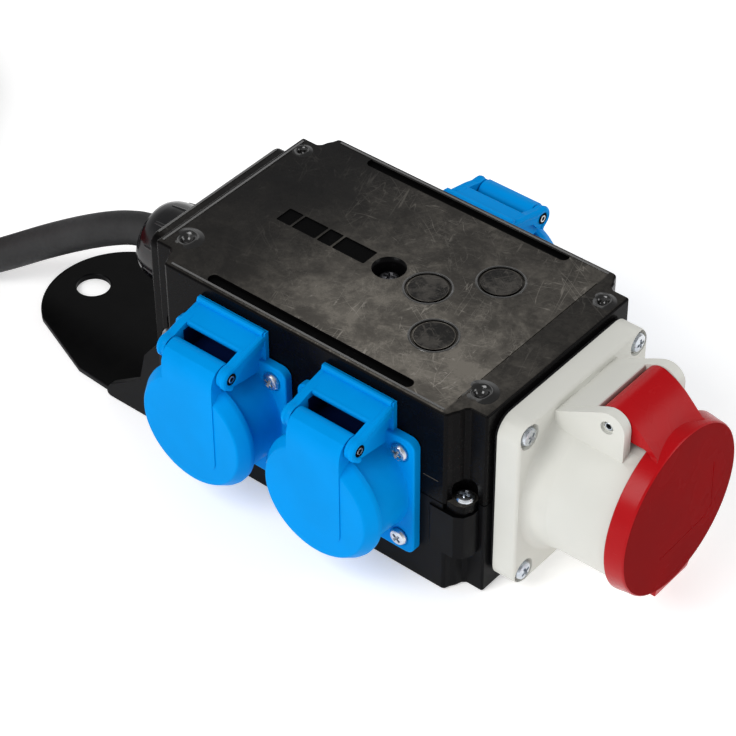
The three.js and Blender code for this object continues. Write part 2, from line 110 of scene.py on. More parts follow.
def new(name, verts, faces):
    me = bpy.data.meshes.new(name)
    me.from_pydata([tuple(v) for v in verts], [], faces)
    bm = bmesh.new()
    bm.from_mesh(me)
    bmesh.ops.remove_doubles(bm, verts=bm.verts, dist=1e-5)
    bmesh.ops.recalc_face_normals(bm, faces=bm.faces)
    bm.to_mesh(me)
    bm.free()
    o = bpy.data.objects.new(name, me)
    col.objects.link(o)
    return o


def prism(name, pts, plane, lo, hi, bevel=0.0, seg=3, ends="both"):
    """A polygon in plane 'xy', 'xz' or 'yz', from lo to hi along the third
    axis, with its end edges rounded by bevel."""
    put = {"xy": lambda a, b, c: (a, b, c), "xz": lambda a, b, c: (a, c, b), "yz": lambda a, b, c: (c, a, b)}[plane]
    n = len(pts)
    v = [put(a, b, lo) for a, b in pts] + [put(a, b, hi) for a, b in pts]
    f = [list(range(n)), list(range(n, 2 * n))] + [[i, (i + 1) % n, n + (i + 1) % n, n + i] for i in range(n)]
    o = new(name, v, f)
    if bevel:
        k = {"xy": 2, "xz": 1, "yz": 0}[plane]
        bm = bmesh.new()
        bm.from_mesh(o.data)
        at = {"both": (lo, hi), "lo": (lo,), "hi": (hi,)}[ends]
        es = [e for e in bm.edges if any(all(abs(q.co[k] - z) < 1e-4 for q in e.verts) for z in at)]
        bmesh.ops.bevel(bm, geom=es, offset=bevel, segments=seg, profile=0.5, affect="EDGES", clamp_overlap=True)
        bm.to_mesh(o.data)
        bm.free()
    return o


def turn(name, prof, o, axis, seg=64, closed=False):
    """A profile [(radius, height)...] turned about the line o + axis·height."""
    ax = Vector(axis).normalized()
    ref = Vector((0, 0, 1)) if abs(ax.z) < 0.9 else Vector((1, 0, 0))
    e = ref.cross(ax).normalized()
    f = ax.cross(e)
    o = Vector(o)
    verts, rings = [], []
    for r, h in prof:
        if r < 1e-6:
            rings.append([len(verts)])
            verts.append(o + ax * h)
        else:
            rings.append(list(range(len(verts), len(verts) + seg)))
            verts += [o + ax * h + (e * math.cos(2 * math.pi * k / seg) + f * math.sin(2 * math.pi * k / seg)) * r for k in range(seg)]
    faces = []
    pairs = list(zip(rings, rings[1:]))
    if closed:
        pairs.append((rings[-1], rings[0]))
    for a, b in pairs:
        if len(a) == 1 and len(b) == 1:
            continue
        for k in range(seg):
            j = (k + 1) % seg
            if len(a) == 1:
                faces.append([a[0], b[k], b[j]])
            elif len(b) == 1:
                faces.append([a[k], b[0], a[j]])
            else:
                faces.append([a[k], b[k], b[j], a[j]])
    return new(name, verts, faces)


def rod(name, o, axis, r, h, seg=32, bev=0.0):
    if bev:
        p = [(0, 0), (r - bev, 0), (r - bev * 0.3, bev * 0.3), (r, bev), (r, h - bev), (r - bev * 0.3, h - bev * 0.3), (r - bev, h), (0, h)]
    else:
        p = [(0, 0), (r, 0), (r, h), (0, h)]
    return turn(name, p, o, axis, seg)


def block(name, x0, x1, y0, y1, z0, z1, r=0.0):
    return prism(name, rect(x1 - x0, y1 - y0, r, 4, (x0 + x1) / 2, (y0 + y1) / 2) if r else [(x0, y0), (x1, y0), (x1, y1), (x0, y1)], "xy", z0, z1)


def applied(o):
    dg = bpy.context.evaluated_depsgraph_get()
    me = bpy.data.meshes.new_from_object(o.evaluated_get(dg))
    old = o.data
    o.modifiers.clear()
    o.data = me
    bpy.data.meshes.remove(old)
    return o


def cut(o, *tools, op="DIFFERENCE"):
    for t in tools:
        mod = o.modifiers.new("b", "BOOLEAN")
        mod.operation = op
        mod.solver = "EXACT"
        mod.object = t
    applied(o)
    for t in tools:
        me = t.data
        bpy.data.objects.remove(t)
        bpy.data.meshes.remove(me)
    return o


def join(o, *tools):
    return cut(o, *tools, op="UNION")


def fuse(o, *others):
    """Several closed shells as one mesh, without a boolean."""
    bm = bmesh.new()
    bm.from_mesh(o.data)
    for t in others:
        bm.from_mesh(t.data)
        me = t.data
        bpy.data.objects.remove(t)
        bpy.data.meshes.remove(me)
    bm.to_mesh(o.data)
    bm.free()
    return o


def done(o, mat, body, bevel=0.3, seg=2, ang=32, smooth=38, stands=()):
    """Rounds the edges, moves the piece into the row frame and rides it."""
    if bevel:
        bm = bmesh.new()
        bm.from_mesh(o.data)
        bmesh.ops.remove_doubles(bm, verts=bm.verts, dist=2e-3)
        bmesh.ops.dissolve_limit(bm, angle_limit=math.radians(0.6), verts=bm.verts, edges=bm.edges)
        bm.to_mesh(o.data)
        bm.free()
        mod = o.modifiers.new("bev", "BEVEL")
        mod.width = bevel
        mod.segments = seg
        mod.limit_method = "ANGLE"
        mod.angle_limit = math.radians(ang)
        mod.miter_outer = "MITER_ARC"
        mod.use_clamp_overlap = True
        applied(o)
    me = o.data
    me.transform(Matrix.Scale(0.001, 4) @ Matrix.Translation(-O))
    me.polygons.foreach_set("use_smooth", [True] * len(me.polygons))
    me.set_sharp_from_angle(angle=math.radians(smooth))
    wn = o.modifiers.new("wn", "WEIGHTED_NORMAL")
    wn.mode = "FACE_AREA"
    wn.weight = 60
    wn.keep_sharp = True
    applied(o)
    me = o.data
    me.materials.clear()
    me.materials.append(mat)
    o["piece"] = 1
    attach(o, body)
    if stands:
        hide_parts(*stands)
    return o


def sweep(name, path, r, seg=10):
    pts = [Vector(p) for p in path]
    t = (pts[1] - pts[0]).normalized()
    n = t.orthogonal().normalized()
    verts, faces = [], []
    for i, p in enumerate(pts):
        a = pts[max(i - 1, 0)]
        b = pts[min(i + 1, len(pts) - 1)]
        t = (b - a).normalized()
        n = (n - t * n.dot(t)).normalized()
        bt = t.cross(n)
        verts += [p + (n * math.cos(2 * math.pi * k / seg) + bt * math.sin(2 * math.pi * k / seg)) * r for k in range(seg)]
    for i in range(len(pts) - 1):
        for k in range(seg):
            j = (k + 1) % seg
            faces.append([i * seg + k, i * seg + j, (i + 1) * seg + j, (i + 1) * seg + k])
    faces.append(list(range(seg)))
    faces.append(list(range((len(pts) - 1) * seg, len(pts) * seg)))
    return new(name, verts, faces)


# ------------------------------------------------------------------ materials
class Mat:
    def __init__(self, name, color, rough, metal=0.0, coat=0.0, coat_rough=0.1, ior=1.48):
        self.m = bpy.data.materials.new(name)
        self.m.use_nodes = True
        self.nt = self.m.node_tree
        self.b = next(n for n in self.nt.nodes if n.type == "BSDF_PRINCIPLED")
        self.b.inputs["Base Color"].default_value = (*color, 1)
        self.b.inputs["Roughness"].default_value = rough
        self.b.inputs["Metallic"].default_value = metal
        self.b.inputs["IOR"].default_value = ior
        self.b.inputs["Coat Weight"].default_value = coat
        self.b.inputs["Coat Roughness"].default_value = coat_rough
        self.tc = self.nt.nodes.new("ShaderNodeTexCoord").outputs["Object"]
        self.m.diffuse_color = (*color, 1)

    def node(self, kind, **kw):
        n = self.nt.nodes.new("ShaderNode" + kind)
        for k, v in kw.items():
            setattr(n, k, v)
        return n

    def link(self, a, b):
        self.nt.links.new(a, b)

    def put(self, n, key, val):
        s = n.inputs[key]
        if hasattr(val, "links"):
            self.link(val, s)
        else:
            s.default_value = val

    def noise(self, scale, detail=4, rough=0.55, stretch=None, turn=0.0, distort=0.0):
        c = self.tc
        if stretch or turn:
            mp = self.node("Mapping")
            mp.vector_type = "TEXTURE"
            mp.inputs["Scale"].default_value = tuple(1 / q for q in (stretch or (1, 1, 1)))
            mp.inputs["Rotation"].default_value = (0, 0, turn)
            self.link(c, mp.inputs["Vector"])
            c = mp.outputs["Vector"]
        n = self.node("TexNoise")
        self.link(c, n.inputs["Vector"])
        n.inputs["Scale"].default_value = scale
        n.inputs["Detail"].default_value = detail
        n.inputs["Roughness"].default_value = rough
        n.inputs["Distortion"].default_value = distort
        return n.outputs["Fac"]

    def ramp(self, fac, lo, hi, a=0.0, b=1.0):
        r = self.node("MapRange")
        r.interpolation_type = "SMOOTHSTEP"
        self.put(r, "Value", fac)
        r.inputs["From Min"].default_value = lo
        r.inputs["From Max"].default_value = hi
        r.inputs["To Min"].default_value = a
        r.inputs["To Max"].default_value = b
        return r.outputs["Result"]

    def math(self, op, a, b=0.0, clamp=False):
        n = self.node("Math", operation=op, use_clamp=clamp)
        self.put(n, 0, a)
        self.put(n, 1, b)
        return n.outputs[0]

    def mix(self, fac, a, b):
        n = self.node("Mix", data_type="RGBA")
        self.put(n, "Factor", fac)
        for key, val in ((6, a), (7, b)):
            if hasattr(val, "links"):
                self.link(val, n.inputs[key])
            else:
                n.inputs[key].default_value = (*val, 1)
        return n.outputs[2]

    def color(self, c):
        self.link(c, self.b.inputs["Base Color"])

    def rough(self, r):
        self.link(r, self.b.inputs["Roughness"])

    def bump(self, h, strength=0.2, dist=0.0002, normal=None):
        n = self.node("Bump")
        n.inputs["Strength"].default_value = strength
        n.inputs["Distance"].default_value = dist
        self.link(h, n.inputs["Height"])
        if normal is not None:
            self.link(normal, n.inputs["Normal"])
        self.link(n.outputs["Normal"], self.b.inputs["Normal"])
        return n.outputs["Normal"]

    def scratches(self, scale=34, width=0.018, turns=(0.3, 1.25, 2.3, 2.9), long=26):
        """Thin straight lines in several directions."""
        total = None
        for i, t in enumerate(turns):
            n = self.noise(scale * (1 + 0.23 * i), 2, 0.4, stretch=(long, 1, long), turn=t)
            d = self.math("ABSOLUTE", self.math("SUBTRACT", n, 0.5))
            line = self.ramp(d, 0.0, width, 1, 0)
            total = line if total is None else self.math("MAXIMUM", total, line)
        return total


def plastic(name, color, rough=0.38, var=0.1, grain=900, bump=0.12, coat=0.0, worn=0.12, spec=0.5):
    k = Mat(name, color, rough, coat=coat, coat_rough=0.18)
    broad = k.noise(28, 3)
    fine = k.noise(grain, 3)
    c = k.mix(k.ramp(broad, 0.3, 0.7), tuple(v * (1 - var) for v in color), tuple(min(1, v * (1 + var)) for v in color))
    sc = k.noise(160, 4, 0.7, stretch=(1, 1, 7))
    scuff = k.ramp(sc, 0.62, 0.74)
    k.color(k.mix(k.math("MULTIPLY", scuff, worn), c, tuple(min(1, v * 0.75 + 0.16) for v in color)))
    r = k.math("ADD", k.ramp(broad, 0.25, 0.75, rough - 0.07, rough + 0.07), k.math("MULTIPLY", scuff, 0.12))
    k.rough(r)
    k.bump(fine, bump, 0.00006)
    k.b.inputs["Specular IOR Level"].default_value = spec
    return k.m


BLUE = plastic("blue_plastic", (0.0, 0.265, 0.71), 0.36, 0.05, 1100, 0.10, worn=0.005, spec=0.018)
# near-black blue for the liner in the hinge window: painted shade
BAY_SHADE = plastic("hinge_bay_painted_shade", (0.0, 0.006, 0.045), 0.5, 0.3, 400, 0.2, worn=0.05, spec=0.2)
LIGHT = plastic("light_grey_plastic", (0.64, 0.64, 0.595), 0.42, 0.03, 900, 0.12, worn=0.02, spec=0.15)
RED = plastic("red_plastic", (0.40, 0.003, 0.006), 0.27, 0.08, 700, 0.08, worn=0.01, spec=0.14)
GLOSS = plastic("gloss_black_plastic", (0.003, 0.003, 0.004), 0.14, 0.2, 600, 0.06, worn=0.02, spec=0.5)
INSERT = plastic("dark_insert_plastic", (0.02, 0.02, 0.023), 0.5, 0.1, 800, 0.2, spec=0.3)
# near-black for pocket fills, slot floors and pin holes: painted shade
VOID_SHADE = plastic("recess_painted_shade", (0.0012, 0.0012, 0.0013), 0.7, 0.2, 700, 0.1, worn=0.02, spec=0.04)


def black(name, base, grey, rough, top=True, spec=0.2):
    k = Mat(name, base, rough)
    k.b.inputs["Specular IOR Level"].default_value = spec
    broad = k.noise(44, 7, 0.76, distort=0.35)
    mid = k.noise(170, 6, 0.78, distort=0.2)
    fine = k.noise(1400, 2)
    geo = k.node("NewGeometry")
    sep = k.node("SeparateXYZ")
    k.link(geo.outputs["Normal"], sep.inputs[0])
    upw = k.ramp(sep.outputs["Z"], 0.85, 0.98)
    pos = k.node("SeparateXYZ")
    k.link(k.tc, pos.inputs[0])
    side = k.ramp(pos.outputs["X"], -0.036, 0.036)         # lighter towards the round socket: wear and painted sheen
    near = k.ramp(pos.outputs["Y"], 0.024, -0.034)         # and towards the front: wear and painted sheen
    strip = k.ramp(pos.outputs["X"], 0.0755, 0.0764, 1.0, 0.3)     # the strip along the end is smoother, with less of the wear and painted sheen
    cloud = k.ramp(broad, 0.40, 0.60)
    speck = k.ramp(mid, 0.42, 0.64)
    # grey on the top: partly wear and scratches, partly a painted sheen towards the round socket and the front
    wear_and_sheen_amount = k.math("ADD", k.math("ADD", 0.03, k.math("MULTIPLY", near, 0.09)), k.math("MULTIPLY", side, k.math("ADD", 0.42, k.math("MULTIPLY", near, 0.60))))
    wear_and_sheen_amount = k.math("MULTIPLY", wear_and_sheen_amount, strip)
    mottled = k.math("ADD", 0.40, k.math("ADD", k.math("MULTIPLY", cloud, 0.30), k.math("MULTIPLY", k.math("MULTIPLY", cloud, speck), 0.50)))
    grime_and_sheen = k.math("MULTIPLY", k.math("MULTIPLY", mottled, wear_and_sheen_amount), upw if top else 0.10)
    scr = k.scratches(13, 0.0065, (0.3, 1.05, 1.9, 2.75), 14)
    fine_scr = k.scratches(30, 0.011, (0.15, 0.8, 1.6, 2.2), 12)
    patch = k.ramp(k.noise(52, 4, 0.6), 0.47, 0.58)
    patch2 = k.ramp(k.noise(75, 4, 0.6, distort=0.5), 0.50, 0.60)
    scr = k.math("MAXIMUM", k.math("MULTIPLY", scr, patch), k.math("MULTIPLY", k.math("MULTIPLY", fine_scr, patch2), 0.4))
    # the scratches also show more where the painted sheen is
    scr = k.math("MULTIPLY", k.math("MULTIPLY", scr, strip), k.math("MULTIPLY", upw, k.math("ADD", 0.06 if top else 0.02, k.math("MULTIPLY", k.math("MULTIPLY", side, k.math("ADD", 0.5, k.math("MULTIPLY", near, 0.5))), 0.80 if top else 0.03))))
    if not top:
        base = k.mix(upw, base, tuple(v * 0.3 for v in base))      # painted shade: flat faces that look up are darker
    c = k.mix(grime_and_sheen, base, grey)
    c = k.mix(k.math("MULTIPLY", scr, 0.75), c, tuple(min(1, g * 1.7 + 0.05) for g in grey))
    k.color(c)
    r = k.math("ADD", k.ramp(mid, 0.3, 0.7, rough - 0.05, rough + 0.06), k.math("MULTIPLY", grime_and_sheen, 0.16))
    k.rough(k.math("ADD", r, k.math("MULTIPLY", scr, 0.15)))
    n = k.bump(fine, 0.14, 0.00005)
    k.bump(scr, 0.25, 0.00004, n)
    return k.m


BLACK = black("black_housing_plastic", (0.0022, 0.0020, 0.0022), (0.150, 0.137, 0.118), 0.25, spec=0.05)
LOWER = black("lower_housing_plastic", (0.0036, 0.0036, 0.0042), (0.013, 0.013, 0.014), 0.36, top=False, spec=0.055)
k = Mat("knock_out_disc", (0.03, 0.028, 0.028), 0.42)
k.b.inputs["Specular IOR Level"].default_value = 0.10
s1 = k.math("MULTIPLY", k.scratches(34, 0.014, (0.1, 0.9, 1.7, 2.5), 12), k.ramp(k.noise(150, 4, 0.6), 0.42, 0.56))
s2 = k.ramp(k.noise(120, 4, 0.7), 0.40, 0.62)
k.color(k.mix(k.math("MULTIPLY", s1, 0.55), k.mix(s2, (0.006, 0.0055, 0.005), (0.046, 0.042, 0.037)), (0.10, 0.092, 0.082)))
k.rough(k.math("ADD", 0.34, k.math("MULTIPLY", s1, 0.2)))
k.bump(s1, 0.4, 0.00006)
DISC = k.m
EDGE = plastic("polished_edge", (0.030, 0.029, 0.028), 0.22, 0.3, 700, 0.08, worn=0.6, spec=0.9)
DIMPLE = plastic("glossy_dimple", (0.008, 0.0078, 0.0075), 0.17, 0.3, 420, 0.25, worn=0.25, spec=0.6)
# a darker copy of the lid's red for its outer face: painted shade
RED_FACE_SHADE = plastic("red_lid_face_painted_shade", (0.205, 0.001, 0.002), 0.26, 0.08, 700, 0.08, worn=0.004, spec=0.006)
k = Mat("zinc_steel", (0.62, 0.65, 0.70), 0.26, 1.0)
n1, n2 = k.noise(420, 4, 0.6), k.noise(60, 3)
k.color(k.mix(k.ramp(n2, 0.3, 0.7), (0.50, 0.55, 0.62), (0.72, 0.73, 0.74)))
k.rough(k.ramp(n1, 0.3, 0.7, 0.2, 0.38))
k.bump(n1, 0.15, 0.00005)
STEEL = k.m
k = Mat("dark_steel", (0.16, 0.16, 0.17), 0.35, 1.0)
n1 = k.noise(420, 4, 0.6)
k.rough(k.ramp(n1, 0.3, 0.7, 0.28, 0.5))
k.color(k.mix(n1, (0.12, 0.12, 0.13), (0.22, 0.22, 0.23)))
SPRING = k.m
k = Mat("contact_brass", (0.72, 0.50, 0.20), 0.3, 1.0)
n1 = k.noise(300, 4, 0.6)
k.color(k.mix(n1, (0.60, 0.40, 0.15), (0.80, 0.58, 0.26)))
k.rough(k.ramp(n1, 0.3, 0.7, 0.22, 0.42))
BRASS = k.m


def rubber(name, color, rough, bump):
    k = Mat(name, color, rough, ior=1.45)
    k.b.inputs["Specular IOR Level"].default_value = 0.25
    n1, n2 = k.noise(700, 4, 0.6), k.noise(45, 3)
    k.color(k.mix(k.ramp(n2, 0.3, 0.7), tuple(v * 0.8 for v in color), tuple(v * 1.25 for v in color)))
    k.rough(k.ramp(n1, 0.3, 0.7, rough - 0.08, rough + 0.08))
    k.bump(n1, bump, 0.00012)
    return k.m


CABLE = rubber("cable_rubber", (0.026, 0.0262, 0.027), 0.60, 0.28)
SEAL = rubber("seal_rubber", (0.012, 0.012, 0.013), 0.7, 0.3)

# ------------------------------------------------------------------ cord
CX, CY = -237.7, 29.5
FLOOR = -H + 0.25
route = [(-36.2, 46.2, -39.5), (-41, 46.2, -39.6), (-45.4, 46.1, -40.1), (-50.5, 44.6, -41.2), (-56, 42.6, -43), (-63.5, 39.7, -46), (-71.4, 36.6, -50), (-79, 33.6, -54.3),
         (-86.6, 30.6, -58.5), (-93.2, 27.2, -62.7), (-99.8, 23.2, -66.5), (-105.8, 19.4, -69.2), (-111.7, 15.6, -70.9), (-117.7, 11.8, -71.7)]
ex, ey = -99.8, 22.5
dx, dy = -0.8530, -0.5220
for t in (29, 38, 47, 56, 66, 76, 86, 96, 105):
    route.append((ex + t * dx, ey + t * dy, FLOOR + 6.5))


def smooth01(t):
    t = min(1, max(0, t))
    return t * t * (3 - 2 * t)


a = -58.5
while a > -990.01:
    s = -58.5 - a
    r = 78.4 - 13.6 * smooth01((s - 300) / 60)
    r += 6.8 * smooth01((s - 640) / 30)
    z = 6.5 + 13.5 * smooth01((s - 560) / 90) - 1.6 * smooth01((s - 735) / 40)
    z += 6.0 * smooth01((s - 890) / 60) if s > 890 else 0
    route.append((CX + r * math.cos(math.radians(a)), CY + r * math.sin(math.radians(a)), FLOOR + z))
    a -= 9
route.pop()
z0 = 6.5 + 13.5 - 1.6 + 4.0
for i in range(0, 11):
    th = math.radians(90 - 9 * i)
    t = i / 10
    z = z0 + (45.4 - z0) * (t * t * (3 - 2 * t)) * 0.55 + (45.4 - z0) * 0.45 * t
    route.append((CX + 50 * math.cos(th) * 1.0, CY + 21.5 + 50 * math.sin(th), FLOOR + z))
tl = math.radians(10)
route.append((CX + 50, CY + 21.5 - 9 * math.cos(tl), FLOOR + 45.4 + 9 * math.sin(tl) + 0.2))

# a smooth line through the points
pts = [Vector(p) for p in route]
for _ in range(3):
    pts = [pts[0]] + [pts[i] * 0.6 + (pts[i - 1] + pts[i + 1]) * 0.2 for i in range(1, len(pts) - 1)] + [pts[-1]]
length = sum((b - a).length for a, b in zip(pts, pts[1:])) * 0.001
cu = bpy.data.curves.new("lead", "CURVE")
cu.dimensions = "3D"
sp = cu.splines.new("BEZIER")
sp.bezier_points.add(len(pts) - 1)
for bp, q in zip(sp.bezier_points, pts):
    bp.co = P(*q)
    bp.handle_left_type = bp.handle_right_type = "AUTO"
cu.resolution_u = 4
cu.bevel_depth = 0.0065
cu.bevel_resolution = 6
cu.use_fill_caps = True
lead = bpy.data.objects.new("lead", cu)
col.objects.link(lead)
cu.materials.append(CABLE)
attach(lead, "housing")
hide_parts("cord_run", "cord_coil")

pd = Vector((0, -math.cos(tl), math.sin(tl)))
po = Vector((CX + 50, CY + 21.5, -H + 0.2 + 44.4))
prof = [(0, 24.2), (14.5, 24.2), (17, 24.6), (19, 25.8), (21.5, 28.6), (23.3, 32), (24, 36), (24.3, 61), (25.2, 63.2), (26.8, 65.6), (27.4, 68), (27.4, 69.5), (27.0, 70.0), (27.0, 71.0), (27.6, 71.6), (28.5, 73.5), (28.5, 124.6), (28.1, 125.7), (27.2, 126), (26.8, 125.6), (26.4, 124.5), (26.4, 88), (0, 88)]
o = turn("plug_housing", prof, po, pd, 72)
ribs = []
for i in range(18):
    th = 2 * math.pi * i / 18
    e = Vector((0, 0, 1)).cross(pd).normalized()
    f = pd.cross(e)
    rad = e * math.cos(th) + f * math.sin(th)
    ribs.append(sweep("rib", [po + pd * 35 + rad * 23.7, po + pd * 48 + rad * 23.9, po + pd * 60 + rad * 24.1], 1.0, 8))
o = fuse(o, *ribs)
done(o, RED, "housing", bevel=0, stands=("plug_body",))
prof = [(7.0, 0.4), (9.5, 0.1), (11.5, 0.6), (13.4, 2.6), (14.6, 5.6), (16.2, 11.5), (16.5, 13), (16.5, 23), (16.1, 23.5), (7.0, 23.5)]
o = turn("plug_clamp_nut", prof, po, pd, 48, closed=True)
ribs = []
for i in range(16):
    th = 2 * math.pi * i / 16
    rad = e * math.cos(th) + f * math.sin(th)
    ribs.append(sweep("rib", [po + pd * 9 + rad * 15.1, po + pd * 13 + rad * 16.2, po + pd * 22.5 + rad * 16.3], 0.9, 8))
o = fuse(o, *ribs)
done(o, GLOSS, "housing", bevel=0, stands=("plug_nut",))
o = turn("plug_pin_carrier", [(0, 88.3), (20, 88.3), (20, 91.6), (19.4, 92.2), (0, 92.2)], po, pd, 48)
done(o, INSERT, "housing", bevel=0)
pins = []
for i, adeg in enumerate((180, 108, 36, -36, -108)):
    th = math.radians(adeg)
    c = po + e * 13.6 * math.sin(th) + f * 13.6 * math.cos(th)
    rr = 3.0 if i == 0 else 2.5
    pins.append(turn("pin", [(0, 91.9), (rr, 91.9), (rr, 120.5), (rr * 0.8, 121.6), (rr * 0.4, 122), (0, 122)], c, pd, 24))
done(fuse(*pins), BRASS, "housing", bevel=0, smooth=30, stands=("plug_contact_pins",))
# a hook-and-loop tie round the coil's turns
ta = math.radians(250)
tc, tt = Vector((math.cos(ta), math.sin(ta), 0)), Vector((-math.sin(ta), math.cos(ta), 0))
loop = fillet([(57.6, 0.4), (85.7, 0.4), (85.9, 11.5), (79.2, 22.6), (71.6, 26.6), (64, 22.6), (57.4, 11.5)], 5.5, 8)
verts, faces = [], []
nl = len(loop)
for w, g in ((-8, 0), (-8, 1.1), (8, 1.1), (8, 0)):
    for i, (rr, zz) in enumerate(loop):
        q = Vector((rr - 71.6, zz - 12))
        q = q * (1 + g / q.length) + Vector((71.6, 12))
        q.y = max(q.y, 0.02)
        base = Vector((CX, CY, FLOOR)) + tc * q.x + tt * w
        verts.append(base + Vector((0, 0, q.y)))
for ring in range(4):
    nx = (ring + 1) % 4
    for i in range(nl):
        j = (i + 1) % nl
        faces.append([ring * nl + i, ring * nl + j, nx * nl + j, nx * nl + i])
tie = new("cord_tie_strap", verts, faces)
tie = done(tie, SEAL, "housing", bevel=0.25, stands=("cord_tie",))

# ------------------------------------------------------------------ housing
FR = [(131.9, 0), (133, 0.5), (133.7, 2.4), (134.9, 4.3), (135.6, 6.4), (136.9, 7.5), (143.5, 7.5)]


def mx(p):
    return [(L - a, b) for a, b in p]


def my(p):
    return [(a, W - b) for a, b in p]


def ccw(p):
    s = sum(p[i - 1][0] * q[1] - q[0] * p[i - 1][1] for i, q in enumerate(p))
    return p if s > 0 else p[::-1]


outline = FR + my(FR)[::-1] + mx(my(FR)) + mx(FR)[::-1]
outline = fillet(outline, 0.9, 4, 172)
corners = [(1, 1), (1, -1), (-1, 1), (-1, -1)]


def at(p, c):
    if c[0] < 0:
        p = mx(p)
    if c[1] < 0:
        p = my(p)
    return ccw(p)


up_ = prism("upper_shell", outline, "xy", -39.0, 0, bevel=1.3, seg=4, ends="hi")
ear = [(131, 0.9), (137, 0.7), (139.4, 1.9), (140.6, 4.6), (140.6, 9), (136.8, 11.5), (131, 9)]
low_ear = [(132.3, 0.9), (137, 0.7), (139.4, 1.9), (140.6, 4.6), (140.4, 7.2), (137, 9.6), (133.5, 8.5), (132.3, 5.6)]
join(up_, *[prism("e", fillet(at(ear, c), 0.8), "xy", -39.05, -37.8) for c in corners])
join(up_, *[prism("e", fillet(at(low_ear, c), 0.8), "xy", -41.5, -38.4) for c in corners])
tools = []
for c in corners:
    (sx, sy), = at([(136.9, 5.4)], c)
    tools.append(turn("t", [(0, -37.8), (4.3, -37.8), (4.3, -33), (4.0, -31.6), (3.0, -30.7), (0, -30.4)], (sx, sy, 0), (0, 0, 1), 40))
pockets = []
for y in (4.5, 88.7):
    tools.append(prism("t", rect(88, 4.4, 2.15, 8, 71.4, y), "xy", -2.8, 1))
rx = 24
for w in (6.2, 10.4, 6, 14):
    tools.append(prism("t", rect(w, 7.7, 0.5, 3, rx + w / 2, 46.45), "xy", -1.6, 1))
    pockets.append(prism("label_recess_%d" % (len(pockets) + 1), rect(w - 0.2, 7.5, 0.4, 3, rx + w / 2, 46.45), "xy", -1.62, -0.35))
    rx += w + 0.85
tools.append(turn("t", [(0, -11), (4.6, -11), (4.7, -2.4), (5.3, -0.8), (6.3, 0.2), (6.3, 1), (0, 1)], (71.4, 46.4, 0), (0, 0, 1), 48))
for x, y in ((88.3, 46.3), (105.3, 64.4), (105.2, 28.3)):
    tools.append(turn("t", [(7.1, -0.8), (8.05, -0.8), (8.05, 1), (7.1, 1)], (x, y, 0), (0, 0, 1), 64, closed=True))
for x, y in ((7.6, 14.9), (5.1, 78.3), (137.7, 77.6), (134.4, 15.6)):
    tools.append(turn("t", [(0, -2.2), (3.4, -2.2), (3.4, 1), (0, 1)], (x, y, 0), (0, 0, 1), 40))
# a thin line across the top where the strip at the round-socket end begins
tools.append(block("t", 130.5, 130.9, 8.5, W - 8.5, -0.3, 1))
cut(up_, *tools)
# three short thin lines cut in the front face
cut(up_, *[block("t", x0, x1, y - 0.5, y + 0.5, -30.6, -30.2) for x0, x1, y in ((12, 17, 0), (68.6, 71.6, 0), (123.6, 130, 0))])
done(up_, BLACK, "housing", bevel=0.28, seg=2, stands=("upper_housing",))
# a thin moulded bead along both long edges, across the cable end and on the end cover
for i, y in enumerate((1.75, W - 1.75)):
    done(prism("top_bead_%d" % (i + 1), rect(118, 0.9, 0.44, 4, 71.7, y), "xy", -0.5, 0.26, bevel=0.2, seg=3, ends="hi"), EDGE, "housing", bevel=0)
done(prism("end_bead", rect(0.9, 74, 0.44, 4, 1.75, 46.2), "xy", -0.5, 0.26, bevel=0.2, seg=3, ends="hi"), EDGE, "housing", bevel=0)
done(prism("cover_bead", rect(0.9, 62, 0.44, 4, -5.6, 45.75), "xy", -4.2, -3.2, bevel=0.2, seg=3, ends="hi"), EDGE, "housing", bevel=0)
for i, (x, y, big, sc) in enumerate(((7.6, 14.9, 1.2, 0.95), (5.1, 78.3, 0.7, 0.62), (137.7, 77.6, 1.1, 0.74), (134.4, 15.6, 1.1, 0.96))):
    # a moulded dimple with a soft swollen lip, fuller on one side
    o = turn("dimple_%d" % (i + 1), [(0, -1.9), (1.0, -1.85), (1.7, -1.5), (2.2, -0.8), (2.7, -0.1), (3.3, 0.33), (4.0, 0.40), (4.8, 0.28), (5.7, 0.10), (6.5, -0.04), (6.5, -0.25), (3.3 / sc, -0.3), (3.3 / sc, -2.3), (0, -2.3)], (0, 0, 0), (0, 0, 1), 56)
    for q in o.data.vertices:
        q.co.x, q.co.y = q.co.x * sc + x, q.co.y * sc + y
    for q in o.data.vertices:
        if q.co.z > -0.15:
            a_ = math.atan2(q.co.y - y, q.co.x - x)
            q.co.z += (q.co.z + 0.1) * big * (0.9 * math.cos(a_ - 0.9) + 0.25 * math.cos(3 * a_))
            q.co.z = max(q.co.z, -0.12)
    done(o, DIMPLE, "housing", bevel=0, smooth=60)
# black fills in the four pockets: painted shade
for p_ in pockets:
    done(p_, VOID_SHADE, "housing", bevel=0)
# black floors in the two slots: painted shade
for i, y in enumerate((4.5, 88.7)):
    done(prism("slot_floor_%d" % (i + 1), rect(87.6, 4.0, 1.95, 8, 71.4, y), "xy", -2.85, -1.3), VOID_SHADE, "housing", bevel=0)
for i, (x, y) in enumerate(((88.3, 46.3), (105.3, 64.4), (105.2, 28.3))):
    done(turn("knock_out_%d" % (i + 1), [(0, -0.5), (6.9, -0.5), (6.9, -0.05), (6.7, 0.12), (0, 0.12)], (x, y, 0), (0, 0, 1), 64), DISC, "housing", bevel=0)
    rim = turn("knock_out_rim_%d" % (i + 1), [(8.02, -0.3), (8.02, 0.02), (8.2, 0.16), (8.45, 0.18), (8.65, 0.08), (8.85, -0.05), (8.85, -0.3)], (x, y, 0), (0, 0, 1), 72, closed=True)
    for q in rim.data.vertices:
        a_ = math.atan2(q.co.y - y, q.co.x - x)
        q.co.z += 0.05 * math.sin(5 * a_ + i) if q.co.z > 0 else 0
    done(rim, EDGE, "housing", bevel=0)

